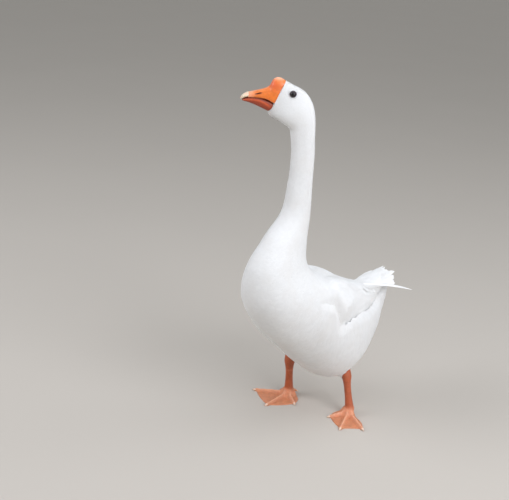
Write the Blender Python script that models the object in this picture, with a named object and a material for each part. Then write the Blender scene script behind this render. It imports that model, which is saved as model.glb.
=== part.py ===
"""A white Chinese goose, the knobbed domestic kind, standing still with its head turned to its right.

Metres, life size. The bird faces -Y, its left side is +X, and its soles rest on z = 0.

The body is one loft: each section is a ring in a plane that runs from a point on the back to a
point on the belly, so the planes fan round the bend of the breast and again round the throat.
Wings, tail coverts and thighs are laid on that loft, a hair clear of it. The bill, knob, legs and
feet are lofts of their own. Each sub-part is parted from its neighbour by a fraction of a millimetre.
"""

import math

import bmesh
import bpy
import numpy as np

COLLECTION = "domestic_goose"
CUTTERS = "cutters"

# ---------------------------------------------------------------- driving dimensions
GAP = 0.0003  # cut between two pieces that touch
ORIGIN = (0.002, -0.0149)  # middle of the whole box, taken off every point at the end
SHARP_EDGE = math.radians(50)

NECK_Y = -0.158  # upright axis that the neck turns about
TURN_DEGREES = 48.0  # the head looks to the bird's right
TURN_FROM, TURN_TO = 0.46, 0.70  # heights between which the neck twists
EYE_Y, EYE_Z = -0.1895, 0.799  # point that the head is measured from, before the turn
EYE_RADIUS = 0.0076
EYE_SIDE = 0.0203  # eyeball centre, out from the middle of the head
EYE_FORWARD, EYE_UP = 0.0015, 0.0040  # eyeball centre, from the point that the head is measured from

BODY_POWER = 0.90  # 1 makes a ring an ellipse, less makes it fuller
KNOB_POWER, UPPER_POWER, LOWER_POWER = 0.72, 0.78, 0.80

# Stations of the body, tail end first. Each is: name, back (y, z), belly (y, z), half width, and
# how much wider the ring is towards the belly (+) or the back (-).
BODY = (
    ("undertail tip", (0.230, 0.2860), (0.236, 0.2730), 0.012, 0.0),
    ("undertail", (0.195, 0.2820), (0.211, 0.2350), 0.029, 0.0),
    ("vent", (0.158, 0.2800), (0.178, 0.1900), 0.043, 0.0),
    ("tail root", (0.123, 0.2880), (0.139, 0.1500), 0.058, 0.03),
    ("rump", (0.084, 0.3060), (0.089, 0.1220), 0.077, 0.06),
    ("thighs", (0.038, 0.3315), (0.040, 0.0990), 0.095, 0.06),
    ("belly", (-0.010, 0.3545), (-0.016, 0.0885), 0.104, 0.03),
    ("keel", (-0.048, 0.3745), (-0.079, 0.1275), 0.104, -0.02),
    ("lower breast", (-0.080, 0.3835), (-0.147, 0.1850), 0.096, -0.08),
    ("breast", (-0.103, 0.3885), (-0.229, 0.2530), 0.089, -0.10),
    ("upper breast", (-0.122, 0.3990), (-0.286, 0.3350), 0.075, 0.03),
    ("neck root", (-0.1275, 0.4240), (-0.2875, 0.4150), 0.053, 0.22),
    ("neck foot", (-0.1285, 0.4680), (-0.2480, 0.4800), 0.0385, 0.14),
    ("lower neck", (-0.1275, 0.5250), (-0.1965, 0.5320), 0.0305, 0.04),
    ("neck", (-0.1300, 0.6000), (-0.1845, 0.6000), 0.0272, 0.0),
    ("upper neck", (-0.1305, 0.6650), (-0.1830, 0.6650), 0.0260, 0.0),
)

# Stations of the head as (forward, up) from the eye, nape first, with the same last two values.
HEAD = (
    ("nape", (-0.0560, -0.0920), (-0.0020, -0.0950), 0.0268, 0.0),
    ("occiput", (-0.0540, -0.0620), (0.0010, -0.0785), 0.0278, 0.05),
    ("hind crown", (-0.0500, -0.0350), (0.0060, -0.0722), 0.0292, 0.12),
    ("jowl", (-0.0415, -0.0125), (0.0130, -0.0680), 0.0298, 0.18),
    ("cheek", (-0.0280, 0.0050), (0.0215, -0.0630), 0.0292, 0.22),
    ("crown", (-0.0135, 0.0145), (0.0300, -0.0585), 0.0275, 0.20),
    ("forehead", (0.0010, 0.0205), (0.0385, -0.0535), 0.0245, 0.14),
    ("face", (0.0185, 0.0290), (0.0460, -0.0458), 0.0196, 0.06),
)

# Stations of the bill pieces as (forward, up) from the eye: top, bottom, half width, fullness.
KNOB = (
    ((0.0196, 0.0286), (0.0243, 0.0160), 0.0118, 0.30),
    ((0.0240, 0.0318), (0.0280, 0.0160), 0.0128, 0.30),
    ((0.0310, 0.0345), (0.0330, 0.0160), 0.0133, 0.30),
    ((0.0380, 0.0346), (0.0385, 0.0160), 0.0130, 0.30),
    ((0.0435, 0.0318), (0.0430, 0.0158), 0.0118, 0.25),
    ((0.0475, 0.0262), (0.0470, 0.0155), 0.0098, 0.20),
    ((0.0495, 0.0205), (0.0495, 0.0152), 0.0060, 0.10),
)
UPPER_BILL = (
    ((0.0243, 0.0154), (0.0380, -0.0208), 0.0158, 0.12),
    ((0.0360, 0.0152), (0.0458, -0.0172), 0.0154, 0.12),
    ((0.0505, 0.0142), (0.0555, -0.0127), 0.0146, 0.14),
    ((0.0665, 0.0080), (0.0678, -0.0104), 0.0138, 0.16),
    ((0.0825, 0.0030), (0.0825, -0.0099), 0.0130, 0.18),
    ((0.0985, -0.0016), (0.0975, -0.0113), 0.0116, 0.16),
)
NAIL = (
    ((0.0989, -0.0018), (0.0979, -0.0114), 0.0114, 0.16),
    ((0.1045, -0.0044), (0.1040, -0.0134), 0.0098, 0.12),
    ((0.1098, -0.0082), (0.1098, -0.0160), 0.0074, 0.08),
    ((0.1130, -0.0122), (0.1133, -0.0185), 0.0046, 0.0),
    ((0.1143, -0.0158), (0.1145, -0.0195), 0.0022, 0.0),
)
LOWER_BILL = (
    ((0.0392, -0.0238), (0.0432, -0.0362), 0.0128, -0.15),
    ((0.0480, -0.0190), (0.0515, -0.0396), 0.0132, -0.15),
    ((0.0605, -0.0146), (0.0615, -0.0364), 0.0124, -0.18),
    ((0.0765, -0.0118), (0.0770, -0.0303), 0.0112, -0.20),
    ((0.0930, -0.0120), (0.0930, -0.0248), 0.0094, -0.15),
    ((0.1040, -0.0150), (0.1045, -0.0222), 0.0066, -0.05),
    ((0.1100, -0.0188), (0.1103, -0.0210), 0.0034, 0.0),
)

# The body loft's pieces: name, first and last place along the stations, rings, points in a ring.
PIECES = (
    ("undertail", 0.0, 3.0, 6, 24),
    ("rump", 3.0, 5.0, 5, 28),
    ("trunk", 5.0, 7.6, 7, 30),
    ("breast", 7.6, 11.3, 11, 30),
    ("neck_lower", 11.3, 13.2, 7, 24),
    ("neck_middle", 13.2, 14.6, 4, 20),
    ("neck_upper", 14.6, 16.2, 5, 20),
    ("head", 16.2, 23.0, 14, 24),
)
PIECE_CUT = 0.0035  # half of the cut between two of them, in stations

# A folded wing is a slab on the flank. Its length runs along the stations, its width round the
# ring, as angles in degrees from the middle of the back.
WING_SHOULDER, WING_TIP = 9.55, 1.75
WING_TOP = ((0.0, 50), (0.12, 30), (0.60, 17), (1.0, 26))
WING_LOW = ((0.0, 60), (0.10, 76), (0.33, 88), (0.58, 76), (0.75, 66), (0.88, 56), (1.0, 44))
WING_PARTS = (("coverts", 0.0, 0.42, 8), ("secondaries", 0.42, 0.72, 6), ("primaries", 0.72, 1.0, 6))
WING_ACROSS = 8  # points across a wing
WING_CUT = 0.0003  # half of a cut, as a share of the wing's length
WING_THICK, WING_EDGE = 0.0095, 0.0016
LIFT = 0.0016  # holds what is laid on the body clear of the body's facets

TAIL_START = (0.134, 0.3010)  # y and z of the tail's upper side at its root
TAIL_LENGTH = 0.108
TAIL_ROOT_HALF, TAIL_TIP_HALF = 0.030, 0.038
TAIL_RISE = math.radians(9)
TAIL_ARCH = 0.016
TAIL_FEATHERS = 8
TAIL_ROUNDED, TAIL_NOTCH = 0.20, 0.07  # shares of the length lost at the sides and between tips
TAIL_THICK, TAIL_EDGE = 0.0115, 0.0020

COVERTS_FROM, COVERTS_RUN = 5.3, 2.15  # tail coverts, in stations
COVERTS_HALF = math.radians(15.5)
COVERTS_THICK, COVERTS_EDGE = 0.0125, 0.0012

# One loose flight feather of the left wing: the points of its bow and its axes.
STRAY_ROOT = (0.050, 0.062, 0.3187)
STRAY_BEND = (0.058, 0.170, 0.2957)
STRAY_TIP = (0.072, 0.262, 0.2680)
STRAY_ACROSS = (0.94, -0.17, -0.28)
STRAY_UP = (0.31, 0.20, 0.93)
STRAY_WIDTH, STRAY_THICK = 0.0125, 0.0022

# Legs: ankle (x, y), hock (x, y), heading of the middle toe outward of straight ahead, and the
# spread of the inner and the outer toe from it, in degrees.
LEGS = {
    "left": ((0.083, 0.017), (0.066, 0.013), 24.0, 44.0, 36.0),
    "right": ((-0.084, -0.017), (-0.080, -0.0295), -3.0, 52.0, 58.0),
}
OUTWARD = {"left": 1, "right": -1}
ANKLE_Z, HOCK_Z = 0.0200, 0.1040
# Shank sections from the ankle up: share of the height, half width, half depth.
SHANK = (
    (0.00, 0.0102, 0.0114),
    (0.08, 0.0098, 0.0110),
    (0.30, 0.0086, 0.0102),
    (0.62, 0.0084, 0.0102),
    (0.82, 0.0100, 0.0120),
    (0.93, 0.0118, 0.0134),
    (1.00, 0.0118, 0.0130),
)
THIGH_HALF, THIGH_DEEP = 0.018, 0.021  # the feathered mound where it leaves the belly
THIGH_END_HALF, THIGH_END_DEEP = 0.0108, 0.0122
THIGH_LIFT = 0.0022
MIDDLE_TOE, OUTER_TOE, INNER_TOE = 0.091, 0.086, 0.057
TOE_SPREAD = (-8.0, -4.4, -2.1, 0.0, 2.1, 4.4, 8.0)  # degrees either side of a toe's middle
TOE_HEIGHT, TOE_TAPER = 0.0105, 0.0050
TOE_GIRTH, TOE_THINNING = 0.0062, 0.0018
WEB_THICK, WEB_HOLLOW = 0.0020, 0.22
HEEL = 0.0125  # the sole's reach behind the ankle
ANKLE_RADIUS = 0.0098
LOBE_TURN, LOBE_POWER = math.radians(70), 1.5  # the skin flap along the inner toe
CLAW_LENGTH, CLAW_HALF, CLAW_TOP, CLAW_LOW = 0.0095, 0.0027, 0.0052, 0.0006
HIND_TURN = math.radians(28)  # the hind toe points back and inward
HIND_START, HIND_HEIGHT, HIND_FALL = 0.0138, 0.0135, 0.52
HIND_TOE = (0.0, 0.011, 0.0033)  # start, end, half thickness
HIND_CLAW = (0.0113, 0.0165, 0.0020)

# Linear colour and roughness.
COLOURS = {
    "plumage": ((0.83, 0.83, 0.82), 0.85),
    "bill": ((0.86, 0.24, 0.03), 0.45),
    "nail": ((0.80, 0.66, 0.50), 0.40),
    "leg": ((0.72, 0.20, 0.06), 0.55),
    "claw": ((0.70, 0.50, 0.38), 0.45),
    "eye": ((0.02, 0.012, 0.01), 0.08),
}


# ---------------------------------------------------------------- curves and surfaces
def spline(rows, at):
    """Catmull-Rom through the rows of a table, at places counted in rows."""
    rows = np.asarray(rows, float)
    at = np.clip(np.asarray(at, float), 0, len(rows) - 1)
    padded = np.vstack([2 * rows[0] - rows[1], rows, 2 * rows[-1] - rows[-2]])
    start = np.minimum(at.astype(int), len(rows) - 2)
    t = (at - start)[..., None]
    a, b, c, d = (padded[start + k] for k in range(4))
    return b + 0.5 * t * (c - a + t * (2 * a - 5 * b + 4 * c - d + t * (3 * (b - c) + d - a)))


def smoothstep(x):
    x = np.clip(x, 0, 1)
    return x * x * (3 - 2 * x)


def from_eye(forward, up):
    """Head measurements to (y, z)."""
    return EYE_Y - forward, EYE_Z + up


def head_rows(table):
    """A table measured from the eye, with its points as (y, z)."""
    return [(*from_eye(*row[-4]), *from_eye(*row[-3]), *row[-2:]) for row in table]


STATIONS = [(*back, *belly, width, pear) for _, back, belly, width, pear in BODY] + head_rows(HEAD)


def turned(points):
    """The head's turn: each point goes round the neck's axis, by more the higher it is."""
    points = np.asarray(points, float)
    turn = -math.radians(TURN_DEGREES) * smoothstep((points[..., 2] - TURN_FROM) / (TURN_TO - TURN_FROM))
    x, y = points[..., 0], points[..., 1] - NECK_Y
    cos, sin = np.cos(turn), np.sin(turn)
    return np.stack([x * cos - y * sin, x * sin + y * cos + NECK_Y, points[..., 2]], -1)


def ring_points(rows, angle, power):
    """Points of the rings of a table's rows: angle 0 is the back, 90 degrees the bird's left."""
    top, low = rows[..., 0:2], rows[..., 2:4]
    cos, sin = np.cos(angle), np.sin(angle)
    height = np.sign(cos) * np.abs(cos) ** power
    side = np.sign(sin) * np.abs(sin) ** power * (1 - rows[..., 5] * cos)
    middle = (top + low) / 2 + height[..., None] * (top - low) / 2
    return np.stack([side * rows[..., 4], middle[..., 0], middle[..., 1]], -1)


def body(place, angle):
    """The body's surface at a place along the stations and an angle round the ring."""
    place, angle = np.broadcast_arrays(np.asarray(place, float), np.asarray(angle, float))
    return turned(ring_points(spline(STATIONS, place), angle, BODY_POWER))


def body_normal(place, angle, step=0.02):
    """Outward unit normal, from differences along and round the surface."""
    along = body(place + step, angle) - body(place - step, angle)
    around = body(place, angle + step) - body(place, angle - step)
    normal = np.cross(along, around)
    return normal / np.linalg.norm(normal, axis=-1, keepdims=True)


def above_body(place, angle, height):
    place, angle, height = np.broadcast_arrays(place, angle, height)
    return body(place, angle) + height[..., None] * body_normal(place, angle)


def circle(count):
    return np.arange(count) * 2 * math.pi / count


def table_at(table, share):
    """A value from a table of (share, value) pairs."""
    return np.interp(share, *np.transpose(table))


# ---------------------------------------------------------------- meshes
def material(name):
    if name in bpy.data.materials:
        return bpy.data.materials[name]
    colour, roughness = COLOURS[name]
    made = bpy.data.materials.new(name)
    made.use_nodes = True
    shader = made.node_tree.nodes["Principled BSDF"]
    shader.inputs["Base Color"].default_value = (*colour, 1)
    shader.inputs["Roughness"].default_value = roughness
    shader.inputs["Metallic"].default_value = 0.0
    return made


def add(name, points, faces, finish):
    """One closed body from points and faces, its faces turned outward."""
    points = np.asarray(points, float) - (*ORIGIN, 0)
    mesh = bpy.data.meshes.new(name)
    mesh.from_pydata(points.tolist(), [], faces)
    work = bmesh.new()
    work.from_mesh(mesh)
    bmesh.ops.recalc_face_normals(work, faces=work.faces)
    work.to_mesh(mesh)
    work.free()
    mesh.shade_smooth()
    mesh.set_sharp_from_angle(angle=SHARP_EDGE)
    mesh.materials.append(material(finish))
    piece = bpy.data.objects.new(name, mesh)
    bpy.data.collections[COLLECTION].objects.link(piece)
    return piece


def grid_faces(rows, columns, closed, first=0):
    """Quads of a grid of points stored row by row, closed round its columns or not."""
    r, c = np.meshgrid(np.arange(rows - 1), np.arange(columns if closed else columns - 1), indexing="ij")
    after = (c + 1) % columns
    here, above = r * columns, (r + 1) * columns
    quads = np.stack([here + c, here + after, above + after, above + c], -1)
    return (quads.reshape(-1, 4) + first).tolist()


def loft(name, rings, finish):
    """A closed body through rings of points (ring, point, xyz), each end filled from its middle."""
    rings = np.asarray(rings, float)
    count, around = rings.shape[:2]
    points = np.vstack([rings.reshape(-1, 3), rings[0].mean(0), rings[-1].mean(0)])
    faces = grid_faces(count, around, closed=True)
    last = (count - 1) * around
    for k in range(around):
        after = (k + 1) % around
        faces.append([count * around, after, k])
        faces.append([count * around + 1, last + k, last + after])
    return add(name, points, faces, finish)


def slab(name, outer, inner, finish):
    """A closed body between two grids of points of the same size, with a rim all round."""
    rows, columns = outer.shape[:2]
    total = rows * columns
    faces = grid_faces(rows, columns, closed=False)
    faces += grid_faces(rows, columns, closed=False, first=total)
    rim = list(range(columns))
    rim += [r * columns + columns - 1 for r in range(1, rows)]
    rim += [(rows - 1) * columns + c for c in range(columns - 2, -1, -1)]
    rim += [r * columns for r in range(rows - 2, 0, -1)]
    for here, after in zip(rim, rim[1:] + rim[:1]):
        faces.append([here, after, total + after, total + here])
    return add(name, np.vstack([outer.reshape(-1, 3), inner.reshape(-1, 3)]), faces, finish)


# ---------------------------------------------------------------- body and head
def make_body():
    for name, start, end, rings, around in PIECES:
        low = start + (PIECE_CUT if start > 0 else 0)
        place = np.linspace(low, end - PIECE_CUT, rings)[:, None]
        loft(name, body(place, circle(around)), "plumage")


def make_head_part(name, table, finish, power, rings, around):
    """A loft through the rows of a table measured from the eye."""
    rows = spline(head_rows(table), np.linspace(0, len(table) - 1, rings))
    rows = rows[:, None, :].repeat(around, 1)
    loft(name, turned(ring_points(rows, circle(around)[None, :], power)), finish)


def make_bill():
    make_head_part("knob", KNOB, "bill", KNOB_POWER, 9, 16)
    make_head_part("bill_upper", UPPER_BILL, "bill", UPPER_POWER, 9, 18)
    make_head_part("bill_nail", NAIL, "nail", LOWER_POWER, 6, 14)
    make_head_part("bill_lower", LOWER_BILL, "bill", LOWER_POWER, 8, 16)


def ball(name, centre, radius, collection):
    """A sphere whose mesh holds its place, so that the object itself stays at the origin."""
    work = bmesh.new()
    bmesh.ops.create_uvsphere(work, u_segments=14, v_segments=8, radius=radius)
    bmesh.ops.translate(work, vec=np.asarray(centre) - (*ORIGIN, 0), verts=work.verts)
    mesh = bpy.data.meshes.new(name)
    work.to_mesh(mesh)
    work.free()
    mesh.shade_smooth()
    made = bpy.data.objects.new(name, mesh)
    bpy.data.collections[collection].objects.link(made)
    return made


def make_eyes():
    """Two eyeballs in sockets that are cut from the head."""
    head = bpy.data.objects["head"]
    for side, outward in OUTWARD.items():
        centre = turned((outward * EYE_SIDE, *from_eye(EYE_FORWARD, EYE_UP)))
        eye = ball(f"eye_{side}", centre, EYE_RADIUS, COLLECTION)
        eye.data.materials.append(material("eye"))
        cutter = ball(f"socket_{side}", centre, EYE_RADIUS + GAP, CUTTERS)
        cutter.hide_render = True
        cutter.display_type = "WIRE"
        socket = head.modifiers.new(f"socket {side}", "BOOLEAN")
        socket.operation = "DIFFERENCE"
        socket.object = cutter


# ---------------------------------------------------------------- wings and tail
def wing_grid(along, across, height):
    """Points above the body at shares of a wing's length and width."""
    top = np.radians(table_at(WING_TOP, along))
    low = np.radians(table_at(WING_LOW, along))
    place = WING_SHOULDER + (WING_TIP - WING_SHOULDER) * along
    return above_body(place, top + (low - top) * across, height)


def make_wings():
    """Each wing in three slabs, thickest along its middle."""
    across = np.linspace(0, 1, WING_ACROSS)[None, :]
    for side, outward in OUTWARD.items():
        for name, start, end, rows in WING_PARTS:
            low = start + (WING_CUT if start > 0 else 0)
            high = end - (WING_CUT if end < 1 else 0)
            along = np.linspace(low, high, rows)[:, None]
            bulge = np.sin(math.pi * across) ** 0.6 * np.clip(np.sin(math.pi * along), 0, 1) ** 0.5
            thick = WING_EDGE + (WING_THICK - WING_EDGE) * bulge
            outer = wing_grid(along, across, LIFT + thick) * (outward, 1, 1)
            inner = wing_grid(along, across, LIFT) * (outward, 1, 1)
            slab(f"wing_{side}_{name}", outer, inner, "plumage")


def make_tail():
    """A closed fan that rises a little, arched across like a roof, its end cut into feather tips."""
    across = np.linspace(-1, 1, 3 * TAIL_FEATHERS + 1)[None, :]
    along = np.linspace(0, 1, 6)[:, None]
    tip = np.abs(np.sin(math.pi * TAIL_FEATHERS * (across + 1) / 2)) ** 0.5
    run = along * TAIL_LENGTH * (1 - TAIL_ROUNDED * across**2 - TAIL_NOTCH * (1 - tip))
    x = (TAIL_ROOT_HALF + (TAIL_TIP_HALF - TAIL_ROOT_HALF) * along) * across
    y = TAIL_START[0] + run * math.cos(TAIL_RISE)
    arch = TAIL_ARCH * (0.35 + 0.65 * along) * across**2
    top = TAIL_START[1] + run * math.sin(TAIL_RISE) - arch
    thick = (TAIL_THICK * (1 - along) + TAIL_EDGE) * (1 - 0.55 * across**2)
    slab("tail", np.stack([x, y, top], -1), np.stack([x, y, top - thick], -1), "plumage")


def make_tail_coverts():
    """The small feathers over the tail's root, a slab on the rump."""
    along = np.linspace(0, 1, 6)[:, None]
    across = np.linspace(-1, 1, 9)[None, :]
    place = COVERTS_FROM - COVERTS_RUN * along
    angle = COVERTS_HALF * across * (1 - 0.2 * along)
    thick = (COVERTS_EDGE + COVERTS_THICK * smoothstep(along * 1.15)) * (1 - 0.35 * across**2)
    slab("tail_coverts", above_body(place, angle, LIFT + thick), above_body(place, angle, LIFT), "plumage")


def make_stray_feather():
    """A thin curved blade along a bow through three points, narrow at both ends."""
    t = np.linspace(0, 1, 9)[:, None]
    root, bend, tip = (np.array(point) for point in (STRAY_ROOT, STRAY_BEND, STRAY_TIP))
    knee = 2 * bend - (root + tip) / 2
    bow = (1 - t) ** 2 * root + 2 * t * (1 - t) * knee + t**2 * tip
    width = STRAY_WIDTH * np.clip(1.25 * (1 - t**3), 0.12, 1)
    edge = np.linspace(-0.5, 0.5, 5)[None, :, None]
    blade = bow[:, None, :] + edge * width[:, None, :] * STRAY_ACROSS
    half = STRAY_THICK / 2 * (1 - 2.4 * edge**2) * STRAY_UP
    slab("wing_left_loose_primary", blade + half, blade - half, "plumage")


# ---------------------------------------------------------------- legs
def level_ring(centre, height, across, along, facing, count=14):
    """A level ellipse with its long axis pointing where the leg faces."""
    angle = circle(count)
    a, b = across * np.cos(angle), along * np.sin(angle)
    cos, sin = math.cos(facing), math.sin(facing)
    x = centre[0] + a * cos - b * sin
    y = centre[1] + a * sin + b * cos
    return np.stack([x, y, np.full(count, height)], -1)


def make_shank(side, ankle, hock, heading):
    """The bare shank: ankle, slim middle, and the knuckle of the hock."""
    facing = math.radians(heading) * OUTWARD[side]
    foot = ANKLE_Z + GAP
    rings = []
    for share, across, along in spline(SHANK, np.linspace(0, len(SHANK) - 1, 9)):
        centre = np.array(ankle) * (1 - share) + np.array(hock) * share
        rings.append(level_ring(centre, foot + (HOCK_Z - foot) * share, across, along, facing))
    loft(f"shank_{side}", rings, "leg")


def belly_height(x, y):
    """Height of the body's underside above a point of the floor, from the nearest of a fine grid."""
    place = np.linspace(2.5, 8.5, 241)[:, None]
    angle = math.copysign(1, x) * np.radians(np.linspace(90, 180, 181))[None, :]
    points = body(place, angle)
    miss = np.hypot(points[..., 0] - x, points[..., 1] - y)
    return points[..., 2].flat[np.argmin(miss)]


def make_thigh(side, hock):
    """A feathered mound: its root lies on the belly, its end is a level ring at the hock."""
    around = 16
    rings = []
    for share in (0.05, 0.4, 0.75, 1.0):
        ring = level_ring(hock, 0.0, THIGH_HALF * share, THIGH_DEEP * share, 0.0, around)
        ring[:, 2] = [belly_height(x, y) - THIGH_LIFT for x, y, _ in ring]
        rings.append(ring)
    rim = rings[-1]
    end = level_ring(hock, HOCK_Z + GAP, THIGH_END_HALF, THIGH_END_DEEP, 0.0, around)
    for share in (0.04, 0.35, 0.7, 1.0):
        sides = rim + (end - rim) * share
        sides[:, 2] = rim[:, 2] + (end[:, 2] - rim[:, 2]) * share**0.55
        rings.append(sides)
    loft(f"thigh_{side}", rings, "plumage")


def toe_table(side, heading, inner, outer):
    """Name, direction and length of the three front toes, inner first."""
    outward = OUTWARD[side]
    ahead = -math.pi / 2 + outward * math.radians(heading)
    return (
        ("inner", ahead - outward * math.radians(inner), INNER_TOE),
        ("middle", ahead, MIDDLE_TOE),
        ("outer", ahead + outward * math.radians(outer), OUTER_TOE),
    )


def sole_reach(angles, toes):
    """How far the foot reaches from the ankle in each direction: heel, lobe, toes and hollow webs."""
    inner, middle, outer = ((direction, length) for _, direction, length in toes)
    past = (inner[0] - angles) * math.copysign(1, middle[0] - inner[0])
    lobe = np.clip(1 - past / LOBE_TURN, 0, 1) ** LOBE_POWER
    reach = np.where(past > 0, HEEL + (inner[1] - HEEL) * lobe, HEEL)
    for (first, long1), (second, long2) in ((inner, middle), (middle, outer)):
        share = (angles - first) / (second - first)
        web = (share > 0) & (share < 1)
        hollow = 1 - WEB_HOLLOW * np.sin(math.pi * share)
        reach = np.where(web, (long1 + (long2 - long1) * share) * hollow, reach)
    for direction, length in (inner, middle, outer):
        off = np.abs(angles - direction) / math.radians(TOE_SPREAD[-1])
        reach = np.where(off < 1.01, np.maximum(reach, length * (1 - 0.10 * off**2)), reach)
    return reach


def make_foot(side, ankle, heading, inner, outer):
    """A webbed foot: flat below, and above it toes that stand out of a thin web."""
    toes = toe_table(side, heading, inner, outer)
    ways = [direction + np.radians(TOE_SPREAD) for _, direction, _ in toes]
    for (_, first, _), (_, second, _) in zip(toes, toes[1:]):
        ways.append(first + (second - first) * np.array((0.36, 0.5, 0.64)))
    ways.append(toes[1][1] + math.pi + np.radians((-110, -85, -60, -30, 0, 30, 60, 85, 110)))
    angles = np.sort(np.concatenate(ways))
    angles = angles[np.append(True, np.diff(angles) > 0.01)]
    from_ahead = (angles - toes[1][1] + math.pi) % (2 * math.pi) - math.pi
    reach = sole_reach(from_ahead + toes[1][1], toes)
    out = np.array((0.0, 0.18, 0.38, 0.62, 0.84, 1.0))[:, None]
    run = ANKLE_RADIUS + out * (reach - ANKLE_RADIUS)
    top = np.full(run.shape, WEB_THICK)
    for _, direction, length in toes:
        off = run * np.sin(angles - direction)
        share = np.clip(run / length, 0, 1)
        girth = TOE_GIRTH - TOE_THINNING * share
        ridge = (TOE_HEIGHT - TOE_TAPER * share) * np.exp(-((off / girth) ** 2))
        top = np.where(np.cos(angles - direction) > 0, np.maximum(top, ridge), top)
    top = np.maximum(top, (ANKLE_Z - 0.001) * np.exp(-(((run - ANKLE_RADIUS) / 0.0085) ** 2)))
    top[0] = ANKLE_Z
    x = ankle[0] + run * np.cos(angles)
    y = ankle[1] + run * np.sin(angles)
    upper = np.stack([x, y, top], -1)
    sole = upper[-1:] * (1, 1, 0)
    loft(f"foot_{side}", np.vstack([upper, sole]), "leg")
    for name, direction, length in toes:
        make_claw(f"claw_{side}_{name}", ankle, direction, length)
    make_hind_toe(side, ankle, toes[1][1])


def tube(name, ankle, direction, sections, finish):
    """A small loft out from the ankle: each section is distance, half width, bottom and top."""
    angle = circle(8)
    ahead = np.array((math.cos(direction), math.sin(direction)))
    beside = np.array((-ahead[1], ahead[0]))
    rings = []
    for run, half, low, high in sections:
        flat = ankle + ahead * run + beside * half * np.cos(angle)[:, None]
        height = (low + high) / 2 + (high - low) / 2 * np.sin(angle)
        rings.append(np.column_stack([flat, height]))
    loft(name, rings, finish)


def make_claw(name, ankle, direction, length):
    """A small blunt claw that bends down from the end of a toe."""
    sections = []
    for share in (0, 0.4, 0.75, 1.0):
        half = CLAW_HALF * math.sqrt(1.02 - share)
        top = CLAW_TOP - 0.65 * CLAW_TOP * share**1.6
        sections.append((length + GAP + CLAW_LENGTH * share, half, CLAW_LOW, top))
    tube(name, ankle, direction, sections, "claw")


def make_hind_toe(side, ankle, ahead):
    """The small hind toe, raised clear of the ground on the inner side of the heel, and its claw."""
    direction = ahead + math.pi + OUTWARD[side] * HIND_TURN
    for name, finish, (start, end, thick) in (
        (f"hallux_{side}", "leg", HIND_TOE),
        (f"claw_{side}_hind", "claw", HIND_CLAW),
    ):
        sections = []
        for share in np.linspace(0, 1, 4):
            run = start + (end - start) * share
            size = thick * (1 - 0.45 * share**2)
            middle = HIND_HEIGHT - HIND_FALL * run
            sections.append((HIND_START + run, size, middle - size, middle + size))
        tube(name, ankle, direction, sections, finish)


def make_legs():
    for side, (ankle, hock, heading, inner, outer) in LEGS.items():
        make_thigh(side, hock)
        make_shank(side, ankle, hock, heading)
        make_foot(side, ankle, heading, inner, outer)


# ---------------------------------------------------------------- the whole bird
def main():
    for thing in list(bpy.data.objects):
        bpy.data.objects.remove(thing, do_unlink=True)
    for name in (COLLECTION, CUTTERS):
        bpy.context.scene.collection.children.link(bpy.data.collections.new(name))
    make_body()
    make_bill()
    make_eyes()
    make_wings()
    make_tail()
    make_tail_coverts()
    make_stray_feather()
    make_legs()


main()
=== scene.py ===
"""Plumage, bill, eyes and legs of a standing white Chinese goose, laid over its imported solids.

Metres, life size. The bird faces -Y, its left side is +X, and its soles rest on z = 0.

The body is one loft through a table of rings, counted as places from the tail end (0) past the nape
(16) to the bill (23). Skin and feathers are both laid on that loft: a point is a place, an angle
round the ring from the middle of the back, and a height along the outward normal.
"""

import math
from functools import partial

import bpy
import numpy as np
from mathutils import Matrix


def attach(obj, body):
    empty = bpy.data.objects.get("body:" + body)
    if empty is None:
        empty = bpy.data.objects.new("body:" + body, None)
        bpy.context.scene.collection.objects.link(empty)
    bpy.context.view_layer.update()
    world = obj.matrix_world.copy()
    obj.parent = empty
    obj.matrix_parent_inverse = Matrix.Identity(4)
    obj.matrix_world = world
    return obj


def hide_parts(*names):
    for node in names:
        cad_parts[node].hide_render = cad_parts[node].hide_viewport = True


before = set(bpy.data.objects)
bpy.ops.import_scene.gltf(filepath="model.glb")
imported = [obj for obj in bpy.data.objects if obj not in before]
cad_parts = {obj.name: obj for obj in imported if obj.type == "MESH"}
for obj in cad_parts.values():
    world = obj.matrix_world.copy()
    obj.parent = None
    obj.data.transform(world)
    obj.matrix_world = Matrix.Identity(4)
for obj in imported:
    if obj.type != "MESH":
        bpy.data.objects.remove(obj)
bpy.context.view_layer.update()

bl_info = {
    "name": "White Chinese goose",
    "version": (1, 0, 0),
    "blender": (4, 5, 0),
    "location": "3D View > Sidebar > Goose",
    "description": "Skin, feathers, bill, eyes and legs of a standing white Chinese goose",
    "category": "Object",
}

BAKE_MAP = "OFBake"
BAKE_PLACES = 24  # places that the bake map is high
PATCH = 0.003  # a feather's patch in the bake map, across
VANE_MAP = "Vane"
TURN = 2 * math.pi
SIDES = ("left", "right")
OUTWARD = {"left": 1, "right": -1}
# Each coat piece draws its random numbers from its own stream, counted on from the seed.
STREAM = {"body": 1, "neck": 2, "head": 3, "thigh": 4, "wing": 5, "scapular": 6, "tail": 7, "loose": 8}

# ------------ the bird's form
ORIGIN = (0.002, -0.0149)
NECK_Y = -0.158
TURN_DEGREES = 48.0
TURN_FROM, TURN_TO = 0.46, 0.70
EYE_Y, EYE_Z = -0.1895, 0.799
EYE_RADIUS = 0.0076
EYE_SIDE = 0.0203
EYE_FORWARD, EYE_UP = 0.0015, 0.0040
BODY_POWER = 0.90
LEAST_HALF = 0.002  # half width that no ring goes below

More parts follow.
